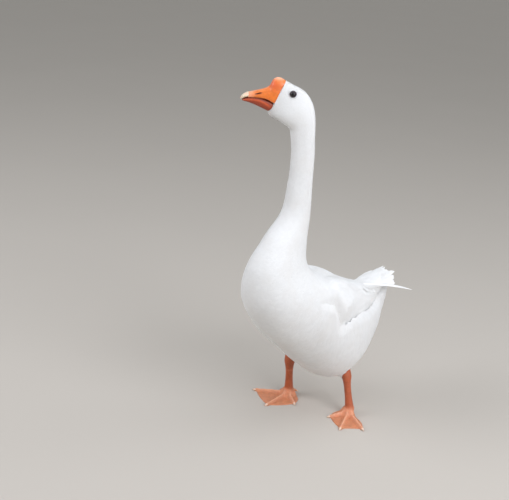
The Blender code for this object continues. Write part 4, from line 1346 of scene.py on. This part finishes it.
GROOVE_BACK, GROOVE_LENGTH, GROOVE_DEPTH = 0.012, 0.017, 0.0012  # the hollow that it lies in
BEAK_SIDE = 0.003  # nostrils and grooves stay that far from the bill's middle
KNOB_FRONT, KNOB_FRONT_SIZE = (0.0455, 0.020), (0.0085, 0.012)  # its redder front, forward and up
KNOB_BASE, KNOB_BASE_SIZE = (0.030, 0.014), (0.010, 0.008)  # and its redder foot
# The knob's paler top is a painted highlight.
KNOB_HIGHLIGHT_UP, KNOB_HIGHLIGHT_SPREAD, KNOB_HIGHLIGHT_FROM, KNOB_HIGHLIGHT_TO = 0.0345, 0.0045, 0.022, 0.045  # its paler top
TIP_FROM, TIP_RUN = 0.078, 0.018  # where the bill turns paler towards its tip
# The ridge's paler line is a painted highlight.
RIDGE_HIGHLIGHT_FROM = 0.055  # where its ridge does
TEETH, TEETH_FROM, TEETH_TO = 24, 0.046, 0.090
EYE_POLE = 0.03  # angle off the eye's line where the eyeball's rings start
CORNEA_RISE, CORNEA_SPREAD = 0.045, 0.55
# Lid ring: points round the eye and round its own section, angles from the opening to its middle and
# across its half, half its thickness and the height of its wrinkles.
LID_AROUND, LID_SECTION, LID_SHIFT, LID_WIDE, LID_THICK, LID_WRINKLE = 72, 14, 0.115, 0.125, 0.00072, 0.0001


def upper_bill_rings():
    """Upper bill and knob in the head's own frame: side, forward, up, and share of the height.

    A ring stands on the bill's lower edge. Its half width at share t of its height is the smooth
    maximum, (a^4 + b^4)^(1/4), of the bill's arch, which closes at the bill's ridge, and of the
    knob's dome, which closes at the top. The lower side is closed by a shallow vault, share -1."""
    rows = spline(UPPER_BILL, np.linspace(0, len(UPPER_BILL) - 1, 96))
    top_forward, top_up, low_forward, low_up, wide, ridge_up, dome = rows.T[..., None]
    t = np.sin(np.linspace(0, 1, 34)[None, :] * math.pi / 2)
    tall = top_up - low_up
    ridge = np.clip((ridge_up - low_up) / tall, 0.05, 1.0)
    arch = wide * np.sqrt(np.clip(1 - (t / ridge) ** 2.3, 0, 1)) * (1 - 0.06 * (1 - t) ** 8)
    centre = np.clip(ridge * 0.96, 0, 0.95)
    above = np.sqrt(np.clip(1 - ((t - centre) / (1 - centre)) ** 2, 0, 1))
    below = 1 - 0.55 * np.clip((centre - t) / centre, 0, 1) ** 1.5
    knob = dome * np.where(t > centre, above, below)
    half = (arch**4 + knob**4) ** 0.25 * (t < 1)
    vault = np.linspace(0, 1, 9)[None, :-1]
    vault_half = half[:, :1] * vault
    forward = low_forward + (top_forward - low_forward) * t
    columns = (
        (vault_half, half, -1),
        (np.broadcast_to(low_forward, vault_half.shape), forward, 1),
        (low_up + VAULT_RISE * (1 - vault**2), low_up + tall * t, 1),
        (np.full(vault_half.shape, -1.0), np.broadcast_to(t, half.shape), 1),
    )
    wholes = ((np.concatenate([low, high], 1), sign) for low, high, sign in columns)
    return [np.concatenate([whole, sign * whole[:, -2:0:-1]], 1) for whole, sign in wholes]


def in_head(side, forward, up):
    """Points given across, forward and up from the eye, as the turned head holds them."""
    y, z = from_eye(forward, up)
    return turned(np.stack(np.broadcast_arrays(side, y, z), -1))


def blush(forward, up, at, size):
    """1 at a place forward and up, falling away by a Gaussian of its own width in each direction."""
    return np.exp(-(((forward - at[0]) / size[0]) ** 2) - ((up - at[1]) / size[1]) ** 2)


def bill_loft(table, rings, around, power):
    """Shape of a plain bill piece, and the angle from its top of each ring point."""
    rows = spline(head_rows(table), np.linspace(0, len(table) - 1, rings))[:, None, :]
    angle = np.broadcast_to(circle(around)[None, :], (rings, around))
    points = ring_points(np.broadcast_to(rows, (rings, around, 6)), angle, power)
    return closed_loft(turned(points)), fold(angle)


def add_upper_bill(finish):
    """The bill's upper half with the knob. The nostril is a slot in a shallow groove, pressed into
    each side. Red goes on the knob's front and foot and along the edge, and it is paler at the tip.
    A painted highlight goes on the knob's top and along the ridge, and painted shade in the
    nostrils, in their grooves and on the palate."""
    side, forward, up, share = upper_bill_rings()
    ahead = (forward - NOSTRIL_AT[0]) / NOSTRIL_SIZE[0]
    above = (up - NOSTRIL_AT[1] + NOSTRIL_DROOP * (forward - NOSTRIL_AT[0])) / NOSTRIL_SIZE[1]
    off_middle = np.abs(side) > BEAK_SIDE
    slot = np.exp(-(ahead**4) - above**2) * off_middle
    groove_ahead = (forward - NOSTRIL_AT[0] + GROOVE_BACK) / GROOVE_LENGTH
    groove = 0.30 * np.exp(-(groove_ahead**4) - (above / 1.7) ** 2) * off_middle
    side = side - np.sign(side) * (NOSTRIL_DEPTH * slot + GROOVE_DEPTH * groove)
    front = blush(forward, up, KNOB_FRONT, KNOB_FRONT_SIZE)
    foot = blush(forward, up, KNOB_BASE, KNOB_BASE_SIZE) * 0.5
    # Painted highlight on the knob's top.
    crown = bell(up - KNOB_HIGHLIGHT_UP, KNOB_HIGHLIGHT_SPREAD) * (forward > KNOB_HIGHLIGHT_FROM) * (forward < KNOB_HIGHLIGHT_TO)
    edge = 0.35 * np.exp(-np.maximum(share, 0) / 0.05)
    tip = 0.55 * ramp(forward, TIP_FROM, TIP_RUN)
    # Painted highlight along the ridge.
    ridge_highlight = 0.25 * bell(share - 1, 0.12) * (forward > RIDGE_HIGHLIGHT_FROM)
    tones = {
        "Red": np.clip(front + foot + edge, 0, 1) * (1 - 0.8 * crown),
        # Painted shade in the nostril slots, their grooves and on the palate.
        "DarkAndShade": np.clip(1.3 * slot + 0.5 * groove + (share < -0.5), 0, 1),
        # Paler tip, and painted highlight on the knob's top and the ridge.
        "Pale": 0.85 * crown + tip + ridge_highlight,
    }
    shape = closed_loft(in_head(side, forward, up))
    add_piece("upper_bill_and_knob", shape, finish, ["bill_upper", "knob"], tones=tones)


def add_nail(finish):
    """The horny tip, darker on its lower side."""
    shape, off_top = bill_loft(NAIL, 30, 40, NAIL_POWER)
    add_piece("nail", shape, finish, ["bill_nail"], tones={"DarkAndShade": 0.6 * ramp(off_top, 1.9, 0.5)})


def add_lower_bill(finish):
    """The lower half, with painted shade inside the mouth and a painted shadow under the upper bill's
    edge as far as the closed front part, and a redder streak along its side."""
    rings = 48
    shape, off_top = bill_loft(LOWER_BILL, rings, 44, LOWER_POWER)
    share = np.linspace(0, 1, rings)[:, None]
    # Painted shade inside the mouth, on the rear of the lower bill's upper side.
    inner = (1 - ramp(off_top, 0.50, 0.30)) * (1 - ramp(share, 0.52, 0.16))
    streak = bell(off_top - 1.45 - 0.15 * np.sin(9 * share), 0.16) * ramp(share, 0.2, 0.2)
    shade = 0.45 * bell(off_top - 0.85, 0.30) * ramp(share, 0.05, 0.2) * (1 - ramp(share, 0.66, 0.2))
    tones = {"Red": 0.75 * streak, "DarkAndShade": np.clip(0.85 * inner + shade, 0, 0.9), "Pale": 0.0}
    add_piece("lower_bill", shape, finish, ["bill_lower"], tones=tones)


def add_lamellae(finish):
    """Small teeth along the inside of the upper bill's lower edge: each is a cone that leans back."""
    at = np.linspace(TEETH_FROM, TEETH_TO, TEETH)
    edge = np.array([row[2:5] for row in UPPER_BILL])
    low, wide = (np.interp(at, edge[:, 0], edge[:, k])[:, None, None] for k in (1, 2))
    turn = circle(6)[None, None, :]
    size = np.array((1.0, 0.9, 0.35))[None, :, None]
    drop = np.array((0.0008, -0.0004, -0.0020))[None, :, None]
    parts = []
    for outward in OUTWARD.values():
        x = outward * (wide * 0.93 - 0.0002) + 0.00045 * size * np.cos(turn)
        forward = at[:, None, None] + 0.00062 * size * np.sin(turn) - 0.3 * (0.0008 - drop)
        x, forward, up = np.broadcast_arrays(x, forward, low + drop)
        parts += [closed_loft(cone) for cone in in_head(x, forward, up)]
    # The teeth are darkened by painted shade in the mouth's gap.
    add_piece("lamellae", joined(parts), finish, tones={"Red": 0.6, "DarkAndShade": 0.25, "Pale": 0.0})


class GOOSE_OT_bill(bpy.types.Operator):
    """Bill: upper bill with its knob, nail, and lower bill, parted by the dark line of the mouth"""

    bl_idname = "goose.bill"
    bl_label = "Bill"

    def execute(self, context):
        _, colours, _ = sources(context)
        orange = bill_finish("bill skin", colours.bill, colours.knob, 0.40)
        add_upper_bill(orange)
        add_nail(nail_finish(colours))
        # Its base colour is the lower bill's red brown with painted shade in it.
        add_lower_bill(bill_finish("lower bill skin", colours.lower_bill_and_shade, colours.knob, 0.46))
        add_lamellae(orange)
        return {"FINISHED"}


def on_eye(side, off, around, radius):
    """Points by angle off the eye's line, angle round it, and distance from the eyeball's centre."""
    centre, out, behind, up = eye_frame(side)
    ring = np.sin(off)[..., None] * (np.cos(around)[..., None] * behind + np.sin(around)[..., None] * up)
    return centre + radius[..., None] * (np.cos(off)[..., None] * out + ring)


class GOOSE_OT_eyes(bpy.types.Operator):
    """Eyeballs with a clear bulge in front, and the ring of the lids round each"""

    bl_idname = "goose.eyes"
    bl_label = "Eyes"

    def execute(self, context):
        """An eyeball is a sphere by angle off the eye's line and angle round it, with a swelling of
        a Gaussian in front. A lid ring is a small oval carried round the opening on that sphere."""
        sizes, colours, _ = sources(context)
        ball, lid = eye_finish(colours), lid_finish(colours)
        opening = math.asin(sizes.eye_opening / EYE_RADIUS)
        for side in SIDES:
            off = np.linspace(EYE_POLE, math.pi - EYE_POLE, 44)[:, None]
            off, around = np.broadcast_arrays(off, circle(56)[None, :])
            radius = EYE_RADIUS * (0.995 + CORNEA_RISE * bell(off, CORNEA_SPREAD))
            shape = closed_loft(on_eye(side, off, around, radius))
            add_piece(f"eyeball_{side}", shape, ball, [f"eye_{side}"], tones={"Ring": off / opening})

            around, section = np.broadcast_arrays(circle(LID_AROUND)[:, None], circle(LID_SECTION)[None, :])
            almond = 1 + 0.07 * np.cos(around) ** 2 - 0.05 * np.sin(around) ** 2
            off = opening * almond + LID_SHIFT + LID_WIDE * np.cos(section)
            thick = LID_THICK * np.sin(section) + LID_WRINKLE * np.sin(9 * around) * np.sin(section)
            points = on_eye(side, off, around, EYE_RADIUS * 1.004 + thick)
            shape = points, [grid_quads(LID_AROUND, LID_SECTION, True)]
            add_piece(f"eyelids_{side}", shape, lid)
        return {"FINISHED"}


# ------------ legs
# Ankle (x, y), heading of the middle toe, spread of the inner and of the outer toe, in degrees.
LEGS = {"left": ((0.083, 0.017), 24.0, 44.0, 36.0), "right": ((-0.084, -0.017), -3.0, 52.0, 58.0)}
ANKLE_Z = 0.0200
# Shank: share of the height from ankle to hock, half width, and half depth from front to back.
SHANK = (
    (-0.04, 0.0118, 0.0128),
    (0.08, 0.0102, 0.0114),
    (0.30, 0.0088, 0.0104),
    (0.62, 0.0086, 0.0104),
    (0.80, 0.0100, 0.0122),
    (0.92, 0.0122, 0.0138),
    (1.02, 0.0122, 0.0134),
    (1.18, 0.0104, 0.0114),
    (1.32, 0.0084, 0.0094),
)
# The fold is also painted paler, as a highlight.
SHANK_FOLD, SHANK_FOLD_SPREAD, SHANK_FOLD_OUT = 0.66, 0.012, 0.0007  # a fold of skin on the right shank
MIDDLE_TOE, OUTER_TOE, INNER_TOE = 0.091, 0.086, 0.057
TOE_HEIGHT, TOE_TAPER = 0.0108, 0.0048
TOE_GIRTH, TOE_THINNING = 0.0056, 0.0016
TOE_ROUND = 0.0052
TOE_JOINTS = ((0.50, 0.06, 0.10), (0.74, 0.05, 0.10), (0.93, 0.05, 0.12))  # share along, spread, swelling
WEB_THICK, WEB_HOLLOW, WEB_BACK, WEB_PLEAT = 0.0019, 0.08, 0.0045, 0.0003
HEEL = 0.0125
ANKLE_RADIUS, ANKLE_FLOW = 0.0108, 0.0095
LOBE_TURN, LOBE_POWER = math.radians(74), 1.1
FLANGE_TURN, FLANGE_POWER = math.radians(22), 0.65
EDGE_LOW, EDGE_ROUND = 0.00075, 0.025  # height of the foot's rim, and share of its reach that is rounded
COLUMNS, LEG_RINGS, TOE_CROWD, TOE_NEAR = 210, 46, 5.0, 0.085
CLAW_LENGTH = 0.0068
CLAW_HALF, CLAW_TOP, CLAW_LOW = 0.0028, 0.0056, 0.0007
HIND_TURN = math.radians(28)
HIND_START, HIND_HEIGHT, HIND_FALL = 0.0138, 0.0134, 0.52


def toe_table(side, heading, inner, outer):
    """Direction and length of the three front toes, inner first."""
    outward = OUTWARD[side]
    ahead = -math.pi / 2 + outward * math.radians(heading)
    return (
        (ahead - outward * math.radians(inner), INNER_TOE),
        (ahead, MIDDLE_TOE),
        (ahead + outward * math.radians(outer), OUTER_TOE),
    )


def foot_reach(angles, toes):
    """How far the foot reaches from the ankle in each direction. Between two toes the web's edge
    runs from one to the other and hollows in by a half wave; a toe ends in a small round; past the
    inner and the outer toe a lobe and a flange fall off by powers of the angle."""
    inner, middle, outer = toes
    past = (inner[0] - angles) * math.copysign(1, middle[0] - inner[0])
    lobe = np.clip(1 - past / LOBE_TURN, 0, 1) ** LOBE_POWER
    reach = np.where(past > 0, HEEL + (inner[1] - WEB_BACK - HEEL) * lobe, HEEL)
    beyond = (angles - outer[0]) * math.copysign(1, outer[0] - middle[0])
    flange = np.clip(1 - beyond / FLANGE_TURN, 0, 1) ** FLANGE_POWER
    reach = np.where(beyond > 0, HEEL + (outer[1] - 0.5 * WEB_BACK - HEEL) * flange, reach)
    for (first, long1), (second, long2) in ((inner, middle), (middle, outer)):
        share = (angles - first) / (second - first)
        web = (share > 0) & (share < 1)
        hollow = 1 - WEB_HOLLOW * np.sin(math.pi * np.clip(share, 0, 1)) ** 0.8
        reach = np.where(web, (long1 + (long2 - long1) * share - WEB_BACK) * hollow, reach)
    for direction, length in toes:
        off = np.clip(length * np.sin(angles - direction) / TOE_ROUND, -1, 1)
        near = (np.abs(off) < 1) & (np.cos(angles - direction) > 0)
        end = length - TOE_ROUND + TOE_ROUND * np.sqrt(1 - off**2)
        reach = np.where(near, np.maximum(reach, end), reach)
    return reach


def foot_height(run, angles, toes):
    """Height of the foot's upper side, and how much of it is toe. Each toe is a Gaussian ridge with
    swellings at its joints; the web between sags and is lightly pleated; the ankle flows out over all."""
    top = WEB_THICK + WEB_PLEAT * np.sin(11 * angles) * np.clip(run / 0.05, 0, 1)
    toe = np.zeros(run.shape)
    for direction, length in toes:
        off = run * np.sin(angles - direction)
        share = np.clip(run / length, 0, 1)
        joints = 1 + sum(swell * bell(share - at, wide) for at, wide, swell in TOE_JOINTS)
        girth = (TOE_GIRTH - TOE_THINNING * share) * (1 + 0.6 * (joints - 1))
        ridge = (TOE_HEIGHT - TOE_TAPER * share) * joints * bell(off, girth)
        front = np.cos(angles - direction) > 0
        top = np.where(front, (np.maximum(top, 0) ** 3 + ridge**3) ** (1 / 3), top)
        toe = np.where(front, np.maximum(toe, bell(off, 0.62 * girth)), toe)
    flow = ANKLE_Z * bell(np.maximum(run - ANKLE_RADIUS, 0), ANKLE_FLOW)
    return (top**4 + flow**4) ** 0.25, toe * np.clip((run - 0.012) / 0.012, 0, 1)


def shank_rings(side, ankle, angles, facing):
    """Reach of the shank's ovals from their middles, the middles, their heights, and how much of each
    is the fold of skin. Fine rings of scales ripple it below the joint."""
    heights = np.linspace(SHANK[-1][0], 0.0, LEG_RINGS)
    table = np.array(SHANK)
    smooth = spline(table, np.interp(heights, table[:, 0], np.arange(len(table))))
    across, along = smooth[:, 1:2], smooth[:, 2:3]
    local = angles - facing
    reach = 1 / np.sqrt((np.cos(local) / across) ** 2 + (np.sin(local) / along) ** 2)
    folded = bell(heights - SHANK_FOLD, SHANK_FOLD_SPREAD)[:, None] * (side == "right")
    ripple = 1 + 0.012 * np.sin(heights * 95)[:, None] * ramp(heights, 0.9, -0.2)[:, None]
    middle = np.array(ankle) + (np.array(THIGH_AT[side]) - ankle) * heights[:, None]
    return reach * ripple + SHANK_FOLD_OUT * folded, middle, ANKLE_Z + (HOCK_Z - ANKLE_Z) * heights, folded


def leg(side, ankle, facing, toes):
    """One closed skin: level ovals down the shank, then rings that spread over the foot from the
    ankle to its edge, then the flat sole. Columns crowd towards the toes."""
    turn = np.linspace(0, TURN, 1441)
    forward = toes[1][0]
    start = forward + math.pi
    crowd = 1 + sum(TOE_CROWD * bell(wrapped(turn + start - way), TOE_NEAR) for way, _ in toes)
    run = np.append(0, np.cumsum((crowd[1:] + crowd[:-1]) / 2))
    angles = np.interp(np.arange(COLUMNS) / COLUMNS * run[-1], run, turn) + start
    from_ahead = wrapped(angles - forward) + forward
    reach, middle, z, folded = shank_rings(side, ankle, angles, facing)
    shank = np.stack(
        [middle[:, :1] + reach * np.cos(angles), middle[:, 1:] + reach * np.sin(angles),
         np.broadcast_to(z[:, None], reach.shape)], -1
    )
    out = (np.arange(1, LEG_RINGS + 1) / LEG_RINGS)[:, None] ** 1.15
    foot_run = reach[-1:] + out * (foot_reach(from_ahead, toes) - reach[-1:])
    top, toe = foot_height(foot_run, from_ahead, toes)
    top = EDGE_LOW + (top - EDGE_LOW) * np.sqrt(np.clip((1 - out) / EDGE_ROUND, 0, 1))
    top[0] = np.minimum(top[0], ANKLE_Z)
    foot = np.stack([ankle[0] + foot_run * np.cos(angles), ankle[1] + foot_run * np.sin(angles), top], -1)
    lower = foot[-1:] * (1, 1, 0)
    centre = np.array((*ankle, 0.0))
    sole = [centre + (lower - centre) * share for share in (0.5, 0.1)]
    # The fold of skin gets a painted highlight, and the toes their paler colour.
    tone = np.vstack([np.broadcast_to(0.75 * folded, reach.shape), toe, np.zeros((3, COLUMNS))])
    return closed_loft(np.vstack([shank, foot, lower, *sole])), fitted(tone, tone.size + 2)


def finger(ankle, direction, run, half, level, tall):
    """A closed body out from the ankle: ovals across its direction, each at its run, with its half
    width, the height of its middle and half its own height."""
    angle = circle(16)[None, :]
    ahead = np.array((math.cos(direction), math.sin(direction)))
    beside = np.array((-ahead[1], ahead[0]))
    flat = ankle + run[..., None] * ahead + (half * np.cos(angle))[..., None] * beside
    return closed_loft(np.concatenate([flat, (level + tall * np.sin(angle))[..., None]], -1))


def hind_toe(ankle, direction, first, last, rings, thick, thinning):
    """A stretch of the hind toe, which falls as it goes, thins by a square law and ends rounded."""
    run = np.linspace(first, last, rings)[:, None]
    share = np.linspace(0, 1, rings)[:, None]
    size = thick * (1 - thinning * share**2) * np.sqrt(np.clip((1.03 - share) / 0.2, 0, 1))
    level = HIND_HEIGHT - HIND_FALL * np.maximum(run, 0)
    return finger(ankle, direction, HIND_START + run, size, level, size)


def claw(ankle, direction, length):
    """A blunt claw that starts inside the toe's end and bends down: its half width falls as the
    root of what is left of it, and its top as a power of the share gone."""
    share = np.linspace(-0.35, 1, 16)[:, None]
    gone = np.clip(share, 0, 1)
    top = CLAW_TOP * (1 - 0.68 * gone**1.6)
    level, tall = (CLAW_LOW + top) / 2, (top - CLAW_LOW) / 2
    half = CLAW_HALF * np.sqrt(1.03 - gone)
    return finger(ankle, direction, length + CLAW_LENGTH * share, half, level, tall)


class GOOSE_OT_legs(bpy.types.Operator):
    """Legs: shank, webbed foot and hind toe of each, and the claws"""

    bl_idname = "goose.legs"
    bl_label = "Legs"

    def execute(self, context):
        """Two pieces for each leg: its skin, and its four claws, which darken towards their tips."""
        _, colours, _ = sources(context)
        skin, horn = leg_finish(colours), claw_finish(colours)
        for side, (ankle, heading, inner, outer) in LEGS.items():
            toes = toe_table(side, heading, inner, outer)
            shank_and_foot, toe = leg(side, ankle, math.radians(heading) * OUTWARD[side], toes)
            direction = toes[1][0] + math.pi + OUTWARD[side] * HIND_TURN
            hind = hind_toe(ankle, direction, -0.004, 0.0115, 16, 0.0034, 0.45)
            toe = np.concatenate([toe, np.full(len(hind[0]), 0.4)])
            nodes = [f"shank_{side}", f"foot_{side}", f"hallux_{side}"]
            add_piece(f"leg_{side}", joined([shank_and_foot, hind]), skin, nodes, tones={"PaleToeAndFoldHighlight": toe})
            parts = [claw(ankle, way, length) for way, length in toes]
            parts.append(hind_toe(ankle, direction, 0.0095, 0.0168, 12, 0.0023, 0.85))
            dark = np.concatenate([np.linspace(0, 1, len(part[0])) for part in parts]) ** 3 * 0.5
            nodes = [f"claw_{side}_{name}" for name in ("inner", "middle", "outer", "hind")]
            add_piece(f"claws_{side}", joined(parts), horn, nodes, tones={"DarkAndShade": dark})
        return {"FINISHED"}


# ------------ stage
FLOOR_RADIUS, FLOOR_SIDES = 40.0, 96
SKY, SKY_STRENGTH = "E6EAEE", 0.62
SENSOR_MM, VIEW_END = 36.0, 100.0
# Lamps: name, place, height of the point that it looks at on the Z axis, size, power and colour.
LAMPS = (
    ("overhead", (0.6, -0.2, 3.0), 0.30, 2.6, 24, "F4F8FF"),
    ("right", (3.0, -0.6, 2.0), 0.35, 2.4, 82, "F4F7FF"),
    ("left", (-2.0, -2.6, 2.2), 0.35, 2.2, 58, "F4F7FF"),
    ("back", (1.8, 2.4, 2.4), 0.35, 2.2, 12, "F6F8FF"),
)


def looking(place, view, roll):
    """Matrix of a camera or lamp at a place that looks along a view, turned about it by the roll."""
    view = unit(np.asarray(view, float))
    right = unit(np.cross(view, (0, 0, 1.0)))
    up = np.cross(right, view)
    right, up = right * math.cos(roll) + up * math.sin(roll), up * math.cos(roll) - right * math.sin(roll)
    matrix = np.eye(4)
    matrix[:3, 0], matrix[:3, 1], matrix[:3, 2], matrix[:3, 3] = right, up, -view, place
    return Matrix(matrix.tolist())


def add_object(name, data, matrix=None):
    """An object in the scene, at the origin or by its matrix."""
    made = bpy.data.objects.new(name, data)
    if matrix is not None:
        made.matrix_world = matrix
    bpy.context.scene.collection.objects.link(made)
    return made


class GOOSE_OT_stage(bpy.types.Operator):
    """Pale floor, pale surroundings, four soft lamps and the camera"""

    bl_idname = "goose.stage"
    bl_label = "Stage"

    def execute(self, context):
        """The floor is a large flat disc. The camera's view comes from its heading and pitch."""
        scene = context.scene
        stage = scene.goose_stage
        around = circle(FLOOR_SIDES)
        rim = np.column_stack([FLOOR_RADIUS * np.cos(around), FLOOR_RADIUS * np.sin(around), 0 * around])
        floor_mesh = bpy.data.meshes.new("floor")
        floor_mesh.from_pydata(rim.tolist(), [], [list(range(FLOOR_SIDES))])
        add_object("floor", floor_mesh)
        matt = {"Roughness": 0.9, "Specular IOR Level": 0.2}
        made, node, shader, place = new_finish("studio floor paint", matt)
        cloud = node("TexNoise", {"Vector": place, "Scale": 1000 / 500, "Detail": 2.0})["Fac"]
        worn = {0: cloud, 6: stage.floor, 7: scaled(stage.floor, 0.97)}
        shader({"Base Color": node("Mix", worn, **COLOURS)[2]})
        floor_mesh.materials.append(made)
        world = bpy.data.worlds.new("studio")
        world.use_nodes = True
        sky = world.node_tree.nodes["Background"]
        fill(world.node_tree, sky, {"Color": linear(SKY), "Strength": SKY_STRENGTH})
        scene.world = world
        scene.view_settings.view_transform = "Standard"
        for name, place, height, size, power, colour in LAMPS:
            light = bpy.data.lights.new(name, "AREA")
            light.shape, light.size, light.energy, light.color = "DISK", size, power, linear(colour)
            add_object(name, light, looking(np.array(place), np.array((0, 0, height)) - place, 0.0))
        lens = bpy.data.cameras.new("camera")
        lens.sensor_width, lens.lens, lens.clip_end = SENSOR_MM, stage.lens, VIEW_END
        level = math.cos(stage.pitch)
        view = (-math.sin(stage.heading) * level, math.cos(stage.heading) * level, -math.sin(stage.pitch))
        scene.camera = add_object("camera", lens, looking(np.array(stage.camera), view, stage.roll))
        return {"FINISHED"}


# ------------ add-on
PIECES = (
    GOOSE_OT_skin, GOOSE_OT_body_feathers, GOOSE_OT_neck_feathers, GOOSE_OT_head_feathers,
    GOOSE_OT_thigh_feathers, GOOSE_OT_wing_feathers, GOOSE_OT_scapulars, GOOSE_OT_tail,
    GOOSE_OT_loose_primary, GOOSE_OT_bill, GOOSE_OT_eyes, GOOSE_OT_legs, GOOSE_OT_stage,
)
GROUPS = {"goose_sizes": GOOSE_PG_sizes, "goose_colours": GOOSE_PG_colours, "goose_stage": GOOSE_PG_stage}


class GOOSE_PT_panel(bpy.types.Panel):
    """Sizes, colours and the pieces, in order"""

    bl_idname = "GOOSE_PT_panel"
    bl_label = "White Chinese goose"
    bl_space_type = "VIEW_3D"
    bl_region_type = "UI"
    bl_category = "Goose"

    def draw(self, context):
        """A box for each group of settings, then a button for each operator."""
        for group in GROUPS:
            settings = getattr(context.scene, group)
            box = self.layout.box()
            for key in settings.bl_rna.properties.keys():
                if key not in ("rna_type", "name"):
                    box.prop(settings, key)
        for operator in PIECES:
            self.layout.operator(operator.bl_idname)


def register():
    """Adds the classes, and the settings to each scene."""
    for made in (*GROUPS.values(), *PIECES, GOOSE_PT_panel):
        bpy.utils.register_class(made)
    for name, group in GROUPS.items():
        setattr(bpy.types.Scene, name, bpy.props.PointerProperty(type=group))


def unregister():
    """Takes them away again, last first."""
    for name in GROUPS:
        delattr(bpy.types.Scene, name)
    for made in reversed((*GROUPS.values(), *PIECES, GOOSE_PT_panel)):
        bpy.utils.unregister_class(made)


def main():
    """Makes every piece in order."""
    register()
    for operator in PIECES:
        group, name = operator.bl_idname.split(".")
        getattr(getattr(bpy.ops, group), name)()


if __name__ == "__main__":
    main()
